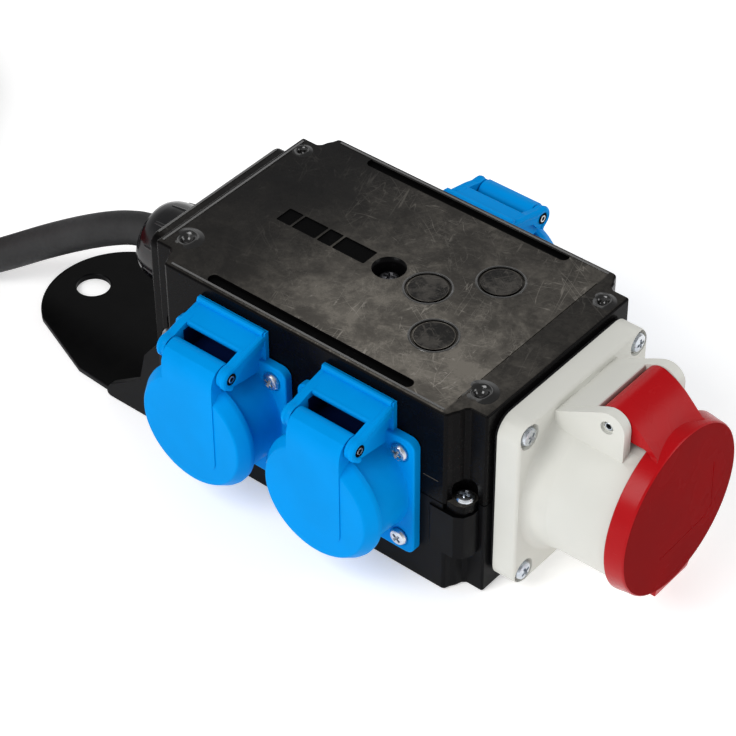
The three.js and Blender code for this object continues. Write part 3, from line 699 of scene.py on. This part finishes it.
lo = prism("lower_shell", outline, "xy", -H, -39.45, bevel=1.3, seg=4, ends="lo")
BOSS = [(126.3, 0.2), (127, -0.7), (136.9, -0.7), (139.8, 1.0), (141.2, 4.2), (141.2, 9.4), (131.5, 11.5), (126.3, 5)]
join(lo, *[prism("b", fillet(at(BOSS, c), 1.0), "xy", -60.5, -41.8) for c in corners])
cut(lo, *[prism("t", at([(132, -1), (142, -1), (142, 7.45), (141.1, 7.45), (137, 10.05), (133, 8.9), (132, 6)], c), "xy", -41.8, -39) for c in corners])
tab = [(14, 1.3), (-6.7, 1.3), (-24.7, 2), (-40.1, 2.9)] + arc(-53.3, 40.5, 31, 236, 124, 40) + [(-40.1, 78.1), (-24.7, 80), (-12, 84.2), (14, 84.2)]
tabp = prism("tab", tab, "xy", -H, -H + 2.5, bevel=0.6, seg=3, ends="both")
cut(tabp, turn("t", [(0, -3), (7.0, -3), (6.5, 0.5), (6.5, 2.1), (7.1, 2.7), (7.1, 6), (0, 6)], (-69.3, 40.8, -H), (0, 0, 1), 48))
cheek = [(14, -60), (14, -42.2), (4.5, -42.2), (1.2, -43.5), (-2.5, -48.4), (-5.7, -61.8), (-22, -73), (-24, -H + 0.6), (14, -H + 0.6)]
cheek2 = [(9, -48), (0, -48), (-5.7, -61.8), (-22, -73), (-24, -H + 0.6), (9, -H + 0.6)]
join(lo, tabp, prism("c", fillet(cheek, 2.5), "xz", 0.3, 3.2), prism("c", fillet(cheek2, 2.5), "xz", 81.4, 84.2))
done(lo, LOWER, "housing", bevel=0.3, seg=2, stands=("lower_housing",))

# end plate with its small pocket, and low ribs round the gland
pl = prism("cable_end_cover", rect(69.5, 70.6, 4.5, 8, 45.75, -38.7), "yz", -7, -0.3, bevel=1.2, seg=4, ends="lo")
cut(pl, block("t", -9, -4.6, 14.4, 19.6, -12, -6.6), block("t", -9, -5.4, 14.4, 19.6, -70.4, -65), block("t", -9, -5.4, 72.4, 77.4, -12, -6.6), block("t", -9, -5.4, 72.4, 77.4, -70.4, -65))
join(pl, turn("r", [(15.9, 4.5), (19.5, 4.5), (19.5, 7.9), (18.9, 8.5), (16.5, 8.5), (15.9, 7.9)], (0, 46.2, -39.5), (-1, 0, 0), 64, closed=True))
done(pl, BLACK, "housing", bevel=0.3, stands=("end_plate",))

# gland: hexagon body, ribbed nut, seal
hexa = [(15.8 * math.cos(math.radians(60 * i + 30)), 15.8 * math.sin(math.radians(60 * i + 30))) for i in range(6)]
g = prism("gland_hex", fillet([(46.2 + a, -39.5 + b) for a, b in hexa], 1.5, 4), "yz", -12.0, -7.6, bevel=0.5, seg=2)
g = join(g, turn("g", [(7.4, -7), (12.1, -7), (12.1, 14), (12.2, 20), (9.6, 20.3), (9.6, 14), (7.4, 14)], (0, 46.2, -39.5), (-1, 0, 0), 48, closed=True))
done(g, GLOSS, "housing", bevel=0.2, stands=("gland_body",))
prof = [(12.6, 12.6), (16.3, 12.6), (16.9, 13.0), (17.0, 13.6), (17.0, 19.8), (16.8, 21.2), (16.45, 23.0), (16.1, 25.5), (15.8, 28.5), (15.4, 31.5), (14.8, 34.0), (13.8, 36.0), (12.3, 37.0), (10.2, 37.4), (8.2, 37.3), (7.2, 36.8), (6.9, 36.0), (6.9, 28), (12.6, 24.5)]
n = turn("gland_cap", prof, (0, 46.2, -39.5), (-1, 0, 0), 96, closed=True)
ribs = []
for i in range(10):
    th = 2 * math.pi * i / 10 + 0.2
    rad = Vector((0, math.cos(th), math.sin(th)))
    c = Vector((0, 46.2, -39.5))
    ribs.append(sweep("rib", [c + Vector((-13.6, 0, 0)) + rad * 16.5, c + Vector((-20.0, 0, 0)) + rad * 16.5, c + Vector((-25.4, 0, 0)) + rad * 15.7, c + Vector((-31, 0, 0)) + rad * 14.8], 0.9, 10))
n = fuse(n, *ribs)
done(n, GLOSS, "housing", bevel=0, smooth=45, stands=("gland_nut",))


# ------------------------------------------------------------------ screws
def screw(name, o, axis, r, h, shank, depth, stands, mat=None, turn_deg=20, cross=True):
    ax = Vector(axis)
    s = turn(name, [(0, -0.01), (r * 0.96, -0.01), (r, h * 0.22), (r * 0.97, h * 0.5), (r * 0.84, h * 0.82), (r * 0.6, h * 0.97), (0, h)], o, axis, 32)
    ref = Vector((0, 0, 1)) if abs(ax.z) < 0.9 else Vector((1, 0, 0))
    e = ref.cross(ax).normalized()
    f = ax.cross(e)
    th = math.radians(turn_deg)
    e, f = e * math.cos(th) + f * math.sin(th), f * math.cos(th) - e * math.sin(th)
    o = Vector(o)
    for a, b in ((e, f), (f, e)):
        vs = []
        for hh, ln, wd in ((h + 0.5, r * 0.62, r * 0.17), (h - 1.5, r * 0.36, r * 0.11)):
            for sa, sb in ((-1, -1), (1, -1), (1, 1), (-1, 1)):
                vs.append(o + ax * hh + a * ln * sa + b * wd * sb)
        t = new("x", vs, [[0, 1, 2, 3], [4, 5, 6, 7], [0, 1, 5, 4], [1, 2, 6, 5], [2, 3, 7, 6], [3, 0, 4, 7]])
        cut(s, t)
    s = fuse(s, turn("k", [(0, -depth), (shank * 0.5, -depth), (shank, -depth + 1.5), (shank, 0.0), (0, 0.0)], o, axis, 16))
    return done(s, mat or STEEL, "housing", bevel=0, smooth=35, stands=(stands,))


for i, c in enumerate(corners):
    (sx, sy), = at([(136.9, 5.4)], c)
    screw("corner_screw_%d" % (i + 1), (sx, sy, -37.75), (0, 0, 1), 3.3, 2, 1.5, 15, "housing_screw_%d" % (i + 1), turn_deg=15 + 40 * i)
screw("top_screw", (71.4, 46.4, -8.2), (0, 0, 1), 4.2, 4.6, 1.7, 46, "cover_screw", mat=SPRING)


def helix(name, o, axis, r, wire, width, turns):
    ax = Vector(axis)
    ref = Vector((0, 0, 1))
    e = ref.cross(ax).normalized()
    f = ax.cross(e)
    n = int(turns * 20)
    return sweep(name, [Vector(o) + ax * (width * i / n) + (e * math.cos(2 * math.pi * turns * i / n) + f * math.sin(2 * math.pi * turns * i / n)) * r for i in range(n + 1)], wire, 8)


# ------------------------------------------------------------------ flap-lid sockets
for nm, sx, sz, sd in (("front_left", 42.62, -41.45, -1), ("front_right", 97.67, -41.45, -1), ("rear", 73.0, -37.5, 1)):
    y0 = 0 if sd < 0 else W
    d = (0, sd, 0)

    def out(h):
        return y0 + sd * h

    def side_prism(name, prof, w0, w1, fl=0.0):
        # prof [(out, up)] seen along X
        p = [(out(a), sz + b) for a, b in prof]
        if fl:
            p = fillet(p, fl, 4)
        return prism(name, p, "yz", sx + w0, sx + w1)

    flange = prism("socket_%s_shell" % nm, rect(50, 50, 3.6, 7, sx, sz), "xz", min(out(0.3), out(3.5)), max(out(0.3), out(3.5)), bevel=0.7, seg=3, ends="lo" if sd < 0 else "hi")
    collar = turn("c", [(0, -26), (20.8, -26), (21.5, -25), (21.5, 3.4), (22.9, 3.4), (22.4, 4.6), (22.2, 9), (22.0, 17.6), (21.6, 18.0), (0, 18.0)], (sx, y0, sz), d, 96)
    earp = [(0.3, 35.5), (1.3, 35.5), (12, 33.3), (17.4, 31.7)] + arc(18.9, 27.8, 4, 100, -70, 14) + [(17.6, 22), (3, 20), (0.3, 20)]
    band = [(0.3, 35.5), (1.3, 35.5), (12, 33.3), (17.4, 31.7)] + arc(18.9, 27.8, 4, 100, -125, 18) + [(13.4, 28.2), (9.5, 29.8), (0.3, 31.4)]
    join(flange, collar, side_prism("e", earp, 11.7, 13.3), side_prism("e", earp, -13.3, -11.7), side_prism("e", band, 11.8, 14.8), side_prism("e", band, -14.8, -11.8))
    for w_ in (-14.0, 14.0):
        edge = [(1.6, 34.5), (5, 33.8), (12, 32.3), (16.6, 30.9)] + arc(18.9, 27.8, 3.1, 95, -60, 10) + [(18.6, 23.6)]
        join(flange, sweep("arm_edge", [(sx + w_, out(p), sz + q) for p, q in edge], 1.35, 10))
    roof = [(0.3, 35.5), (1.4, 35.6), (10.8, 33.4), (11.2, 32.6), (10.8, 31.6), (3, 33.0), (3, 20), (0.3, 20)]
    join(flange, side_prism("r", roof, -12, 12), side_prism("r", [(0.3, 36.6), (1.7, 36.6), (2.0, 36.2), (2.0, 20), (0.3, 20)], -15.2, 15.2), fuse(*[sweep("lip", [(sx - 14.6, out(h_), sz + u_), (sx, out(h_), sz + u_), (sx + 14.6, out(h_), sz + u_)], r_, 10) for h_, u_, r_ in ((10.2, 32.7, 1.0), (1.7, 35.9, 1.25))]))
    tools = [turn("t", [(0, 0.6), (19.4, 0.6), (19.4, 16.6), (20.0, 18.4), (20, 30), (0, 30)], (sx, y0, sz), d, 96)]
    for a_ in (-9.5, 9.5):
        tools.append(rod("t", (sx + a_, out(-19), sz), d, 2.6, 24, 24))
    for a_ in (-1, 1):
        for c_ in (-1, 1):
            tools.append(turn("t", [(0, -5), (1.9, -5), (1.9, 3.0), (3.9, 3.25), (3.9, 6), (0, 6)], (sx + a_ * 19, y0, sz + c_ * 19), d, 32))
    tools.append(rod("t", (sx - 18, out(18.9), sz + 27.8), (1, 0, 0), 1.6, 36, 20))
    cut(flange, *tools)
    # a raised step at the contact face
    join(flange, block("s", sx - 3.4, sx + 3.4, min(out(0.4), out(3.0)), max(out(0.4), out(3.0)), sz - 3, sz + 3))
    done(flange, BLUE, "housing", bevel=0.28, stands=("socket_%s_body" % nm,))
    # earth clips, top and bottom of the recess
    clips = []
    for u in (-1, 1):
        base = Vector((sx, 0, sz))
        pathc = [(0.7, 18.9), (6, 18.6), (11, 17.2), (14.2, 17.0), (15.6, 18.4), (16.2, 19.2)]
        vs, fs = [], []
        for h, rr in pathc:
            for w_, th_ in ((-2.4, 0), (2.4, 0), (2.4, 0.6), (-2.4, 0.6)):
                vs.append((sx + w_, out(h), sz + u * (rr - th_)))
        for q in range(len(pathc) - 1):
            for z_ in range(4):
                fs.append([q * 4 + z_, q * 4 + (z_ + 1) % 4, q * 4 + 4 + (z_ + 1) % 4, q * 4 + 4 + z_])
        fs += [[0, 1, 2, 3], [len(vs) - 4 + z_ for z_ in range(4)]]
        clips.append(new("clip", vs, fs))
    c_ = fuse(*clips)
    c_.name = "socket_%s_earth_clips" % nm
    done(c_, BRASS, "housing", bevel=0.12)
    # contact tubes behind the two holes
    t1, t2 = [turn("ct", [(1.9, -18), (2.45, -18), (2.45, -2), (1.9, -2)], (sx + a_, y0, sz), d, 24, closed=True) for a_ in (-9.5, 9.5)]
    c_ = fuse(t1, t2)
    c_.name = "socket_%s_contacts" % nm
    done(c_, BRASS, "housing", bevel=0)

    lid = turn("socket_%s_cap" % nm, [(0, 22.3), (20.0, 22.3), (20.6, 21.8), (20.6, 18.5), (20.9, 18.3), (23.6, 18.3), (24.0, 18.7), (24.05, 19.9), (23.75, 20.9), (21.75, 24.0), (21.35, 24.45), (20.8, 24.7), (0, 24.7)], (sx, y0, sz), d, 112)
    arm = arc(18.9, 27.8, 3.9, 290, 75, 18) + [(22.4, 30.6), (24.0, 28.4), (24.8, 25.6), (25.05, 22), (25.05, -12), (24.2, -12), (24.2, 16), (19.6, 20.6)]
    a_ = prism("arm", [(out(p), sz + q) for p, q in arm], "yz", sx - 11.2, sx + 11.2)
    # the raised panel's lower corners are rounded
    panel = prism("pp", rect(22.4, 60, 3.5, 8, sx, sz + 18), "xz", min(out(10), out(30)), max(out(10), out(30)))
    cut(a_, panel, op="INTERSECT")
    join(lid, a_)
    cut(lid, rod("t", (sx - 18, out(18.9), sz + 27.8), (1, 0, 0), 1.6, 36, 20), rod("t", (sx - 4, out(18.9), sz + 27.8), (1, 0, 0), 3.2, 8, 32))
    done(lid, BLUE, "lid_" + nm, bevel=0.3, stands=("socket_%s_lid" % nm,))
    pin = turn("socket_%s_roll_pin" % nm, [(0.85, 0), (1.25, 0), (1.4, 0.2), (1.4, 30.2), (1.25, 30.4), (0.85, 30.4)], (sx - 15.2, out(18.9), sz + 27.8), (1, 0, 0), 24, closed=True)
    # black fill in the hollow pin and black rings at its ends: painted shade of the holes
    pin_shade = fuse(rod("socket_%s_pin_core" % nm, (sx - 14.9, out(18.9), sz + 27.8), (1, 0, 0), 0.84, 29.8, 16),
                *[turn("w", [(1.41, 0), (2.05, 0), (2.2, 0.1), (2.1, 0.22), (1.41, 0.2)], (sx + w_, out(18.9), sz + 27.8), (n_, 0, 0), 28, closed=True) for w_, n_ in ((14.95, 1), (-14.95, -1))])
    done(pin_shade, VOID_SHADE, "housing", bevel=0)
    # a dark liner inside the hinge window: painted shade in the open window
    bay_shade = fuse(block("socket_%s_hinge_bay" % nm, sx - 11.3, sx + 11.3, min(out(3.02), out(4.2)), max(out(3.02), out(4.2)), sz + 20.5, sz + 31.4),
               block("b", sx - 11.3, sx + 11.3, min(out(4.2), out(13.2)), max(out(4.2), out(13.2)), sz + 21.2, sz + 22.6),
               *[block("b", sx + w_, sx + w_ + 0.5, min(out(3.1), out(13.0)), max(out(3.1), out(13.0)), sz + 22, sz + 31.0) for w_ in (-11.75, 11.25)])
    done(bay_shade, BAY_SHADE, "housing", bevel=0)
    done(pin, STEEL, "housing", bevel=0, stands=("socket_%s_pin" % nm,))
    done(helix("socket_%s_coil_spring" % nm, (sx - 3.4, out(18.9), sz + 27.8), (1, 0, 0), 2.35, 0.42, 6.8, 6), SPRING, "housing", bevel=0, stands=("socket_%s_spring" % nm,))
    i = 0
    for a_ in (-1, 1):
        for c_ in (-1, 1):
            i += 1
            screw("socket_%s_fixing_%d" % (nm, i), (sx + a_ * 19, out(3.4), sz + c_ * 19), d, 3.3, 1.9, 1.55, 11, "socket_%s_screw_%d" % (nm, i), turn_deg=17 * i + 31 * (nm == "rear"))

# ------------------------------------------------------------------ round socket
RY, RZ = 46.2, -38.5
C = (L, RY, RZ)
fl = prism("round_socket_shell", rect(71, 71, 7, 10, RY, RZ), "yz", L + 1.6, L + 10.6, bevel=1.6, seg=4, ends="hi")
join(fl, turn("b", [(0, 5), (34.8, 5), (34.8, 10.5), (33.6, 10.75), (32.6, 11.3), (31.8, 12.2), (31.25, 13.6), (30.95, 15.6), (30.7, 18), (30.58, 18.2), (30.5, 19), (30.35, 30), (30.3, 42.1), (29.9, 42.6), (0, 42.6)], C, (1, 0, 0), 128))
earp = [(8, 24), (8, 32.0), (12, 33.0), (18.5, 36.4), (25.0, 39.9), (28.4, 41.6)] + arc(31.6, 36.4, 6.0, 106, -2, 14) + [(37.6, 28), (37.6, 24)]
join(fl, *[prism("e", [(L + a, RZ + b) for a, b in earp], "xz", RY + w0, RY + w1) for w0, w1 in ((13.1, 16.9), (-16.9, -13.1))])
join(fl, prism("roof", [(L + a, RZ + b) for a, b in ((8, 24), (8, 32.1), (12, 33.1), (18.5, 36.5), (24.1, 39.5), (24.4, 39.2), (24.4, 24))], "xz", RY - 13.6, RY + 13.6))
tools = [turn("t", [(0, 8.3), (26.2, 8.3), (26.2, 41.4), (27.0, 43), (27, 60), (0, 60)], C, (1, 0, 0), 112),
         rod("t", (L - 10, RY, RZ), (1, 0, 0), 25.3, 20, 96), block("t", L + 14, L + 50, RY - 3, RY + 3, RZ - 28, RZ - 24),
         rod("t", (L + 30.8, RY - 20, RZ + 36.4), (0, 1, 0), 1.9, 40, 24), rod("t", (L + 30.8, RY - 20, RZ + 36.4), (0, 1, 0), 2.5, 4.4, 24), rod("t", (L + 30.8, RY + 15.6, RZ + 36.4), (0, 1, 0), 2.5, 4.4, 24)]
for a_ in (-1, 1):
    for c_ in (-1, 1):
        tools.append(turn("t", [(0, -2), (2, -2), (2, 8.6), (4.3, 8.6), (4.6, 10.4), (5.2, 11.2), (5.2, 20), (0, 20)], (L, RY + a_ * 30, RZ + c_ * 30), (1, 0, 0), 40))
cut(fl, *tools)
done(fl, LIGHT, "housing", bevel=0.35, stands=("round_socket_body",))
gk = prism("round_flange_gasket", rect(69.4, 69.4, 7, 8, RY, RZ), "yz", L + 0.1, L + 1.5)
done(gk, SEAL, "housing", bevel=0.2, stands=("round_socket_gasket",))
ins = turn("contact_carrier", [(0, -18), (24, -18), (25, -17), (25, 8), (20, 8), (20, 38.6), (19.2, 39.5), (0, 39.5)], C, (1, 0, 0), 96)
plist = [(13.6 * math.sin(math.radians(q)), 13.6 * math.cos(math.radians(q))) for q in (180, 108, 36, -36, -108)]
cut(ins, *[turn("t", [(0, 10), (3.3, 10), (3.3, 38.4), (4.3, 39.6), (4.3, 45), (0, 45)], (L, RY + a_, RZ + b_), (1, 0, 0), 32) for a_, b_ in plist])
done(ins, INSERT, "housing", bevel=0.2, stands=("round_socket_insert",))
for i, (a_, b_) in enumerate(plist):
    done(turn("sleeve_%d" % (i + 1), [(2.5, 10.4), (3.05, 10.4), (3.05, 38.0), (2.8, 38.6), (2.5, 38.4)], (L, RY + a_, RZ + b_), (1, 0, 0), 32, closed=True), BRASS, "housing", bevel=0, stands=("contact_sleeve_%d" % (i + 1),))

lid = turn("round_socket_cap", [(0, 47.5), (28.4, 47.5), (29, 47.0), (29, 43.2), (29.2, 43.0), (32.2, 43.0), (32.5, 43.3), (32.45, 44.2), (32.1, 46.5), (31.8, 49.5), (31.65, 49.95), (31.3, 50.25), (30.8, 50.3), (0, 50.3)], C, (1, 0, 0), 128)
arm = arc(30.8, 36.4, 5.7, 270, 62, 18) + [(37.3, 39.6), (40.6, 37.2), (44.4, 33.4), (47.9, 29.6), (49.3, 27.2), (50.1, 24), (50.32, 20), (50.32, 12), (49.4, 12), (48, 20), (47.7, 28.2), (42.9, 31.2), (36.4, 31.4)]
tongue = prism("a", [(L + a, RZ + b) for a, b in arm], "xz", RY - 19.0, RY + 19.0)
half = [(12.8, 50), (12.8, 30.2), (13.6, 28.6), (18.2, 22.5), (18.6, 20), (18.6, -40)]
cut(tongue, prism("w", [(RY + a, RZ + b) for a, b in half] + [(RY - a, RZ + b) for a, b in half[::-1]], "yz", L + 10, L + 70), op="INTERSECT")
join(lid, tongue)
tabx = [(L + 44.6, RZ - 29), (L + 44.8, RZ - 31.4), (L + 46.0, RZ - 33.9), (L + 47.2, RZ - 34.6), (L + 48.6, RZ - 34.5), (L + 49.4, RZ - 33.6), (L + 50.2, RZ - 29)]
t = prism("f", fillet(tabx, 0.8, 4), "xz", RY - 9.5, RY + 9.5)
cut(t, turn("w", [(0, 40), (34.6, 40), (34.6, 52), (0, 52)], C, (1, 0, 0), 96), op="INTERSECT")
join(lid, t)
# a faint moulded outline low on the face
line = [(RY + 18.6, RZ + 8), (RY + 19.4, RZ - 12.0), (RY + 16, RZ - 14.4), (RY - 10.2, RZ - 15.4)]
grooves = []
for p, q in zip(line, line[1:]):
    d_ = (Vector(q) - Vector(p)).normalized()
    n_ = Vector((-d_.y, d_.x)) * 0.16
    grooves.append(prism("g", [tuple(Vector(p) + n_), tuple(Vector(p) - n_), tuple(Vector(q) - n_), tuple(Vector(q) + n_)], "yz", L + 50.12, L + 51))
cut(lid, *grooves)
cut(lid, rod("t", (L + 30.8, RY - 20, RZ + 36.4), (0, 1, 0), 1.9, 40, 24), rod("t", (L + 30.8, RY - 4.6, RZ + 36.4), (0, 1, 0), 4.1, 9.2, 32))
done(lid, RED, "lid_round", bevel=0.35, stands=("round_socket_lid",))
# the lid's outer face takes the darker red copy: painted shade
lid.data.materials.append(RED_FACE_SHADE)
for f_ in lid.data.polygons:
    if f_.normal.x > 0.95 and f_.center.x > P(L + 49.9, 0, 0).x:
        f_.material_index = 1
done(turn("cap_seal", [(26, 43.5), (28.4, 43.3), (28.4, 47.1), (26, 47.1)], C, (1, 0, 0), 96, closed=True), SEAL, "lid_round", bevel=0.2, stands=("round_lid_seal",))
done(turn("round_hinge_pin", [(1.05, 0.05), (1.3, 0), (1.6, 0.3), (1.6, 31.7), (1.3, 32.0), (1.05, 31.95)], (L + 30.8, RY - 16.0, RZ + 36.4), (0, 1, 0), 32, closed=True), STEEL, "housing", bevel=0, stands=("round_lid_pin",))
# black fill in the hollow pin: painted shade
done(rod("round_pin_hole_shade", (L + 30.8, RY - 15.0, RZ + 36.4), (0, 1, 0), 1.04, 30, 16), VOID_SHADE, "housing", bevel=0)
done(helix("round_coil_spring", (L + 30.8, RY - 4.0, RZ + 36.4), (0, 1, 0), 2.8, 0.55, 8.0, 6), SPRING, "housing", bevel=0, stands=("round_lid_spring",))
i = 0
for a_ in (-1, 1):
    for c_ in (-1, 1):
        i += 1
        screw("round_fixing_%d" % i, (L + 8.75, RY + a_ * 30, RZ + c_ * 30), (1, 0, 0), 3.6, 2.6, 1.6, 18, "round_socket_screw_%d" % i, turn_deg=23 * i)

# inner nodes keep their CAD shape
for name, mt in (("terminal_block", LIGHT), ("gland_seal", SEAL), ("gland_locknut", STEEL)):
    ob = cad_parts[name]
    ob.data.materials.clear()
    ob.data.materials.append(mt)

# ------------------------------------------------------------------ stage
fm = Mat("floor", (0.86, 0.86, 0.86), 0.7)
fn = fm.noise(3, 2)
fm.color(fm.mix(fn, (0.86, 0.86, 0.86), (0.88, 0.88, 0.88)))
fm.b.inputs["Emission Color"].default_value = (1, 1, 1, 1)
fm.b.inputs["Emission Strength"].default_value = 0.42
fm.b.inputs["Specular IOR Level"].default_value = 0.1
bpy.ops.mesh.primitive_plane_add(size=12, location=(0, 0, -0.0002))
floor = bpy.context.object
floor.name = "floor"
floor.data.materials.append(fm.m)

w = bpy.data.worlds.new("world")
scene.world = w
w.use_nodes = True
w.node_tree.nodes["Background"].inputs["Color"].default_value = (1, 1, 1, 1)
# brighter round the horizon than overhead
wt = w.node_tree
tcw = wt.nodes.new("ShaderNodeTexCoord")
sx_ = wt.nodes.new("ShaderNodeSeparateXYZ")
mr_ = wt.nodes.new("ShaderNodeMapRange")
mr_.interpolation_type = "SMOOTHSTEP"
for key_, val_ in (("From Min", 0.22), ("From Max", 0.60), ("To Min", 0.80), ("To Max", 0.33)):
    mr_.inputs[key_].default_value = val_
wt.links.new(tcw.outputs["Generated"], sx_.inputs[0])
wt.links.new(sx_.outputs["Z"], mr_.inputs["Value"])
wt.links.new(mr_.outputs["Result"], wt.nodes["Background"].inputs["Strength"])


def light(name, loc, target, size, power, sy=None):
    d_ = bpy.data.lights.new(name, "AREA")
    d_.shape = "RECTANGLE"
    d_.size = size
    d_.size_y = sy or size
    d_.energy = power
    ob = bpy.data.objects.new(name, d_)
    col.objects.link(ob)
    ob.location = loc
    ob.rotation_euler = (Vector(target) - Vector(loc)).to_track_quat("-Z", "Y").to_euler()
    return ob


light("key", (-0.25, -1.1, 1.15), (0, 0, 0.03), 0.8, 14.5)
light("rim", (-0.9, 1.2, 1.2), (0, 0, 0.05), 0.7, 1.6)
light("right", (1.2, 0.65, 0.95), (0.05, 0, 0.04), 0.7, 6.5)
scene.view_settings.view_transform = "Standard"
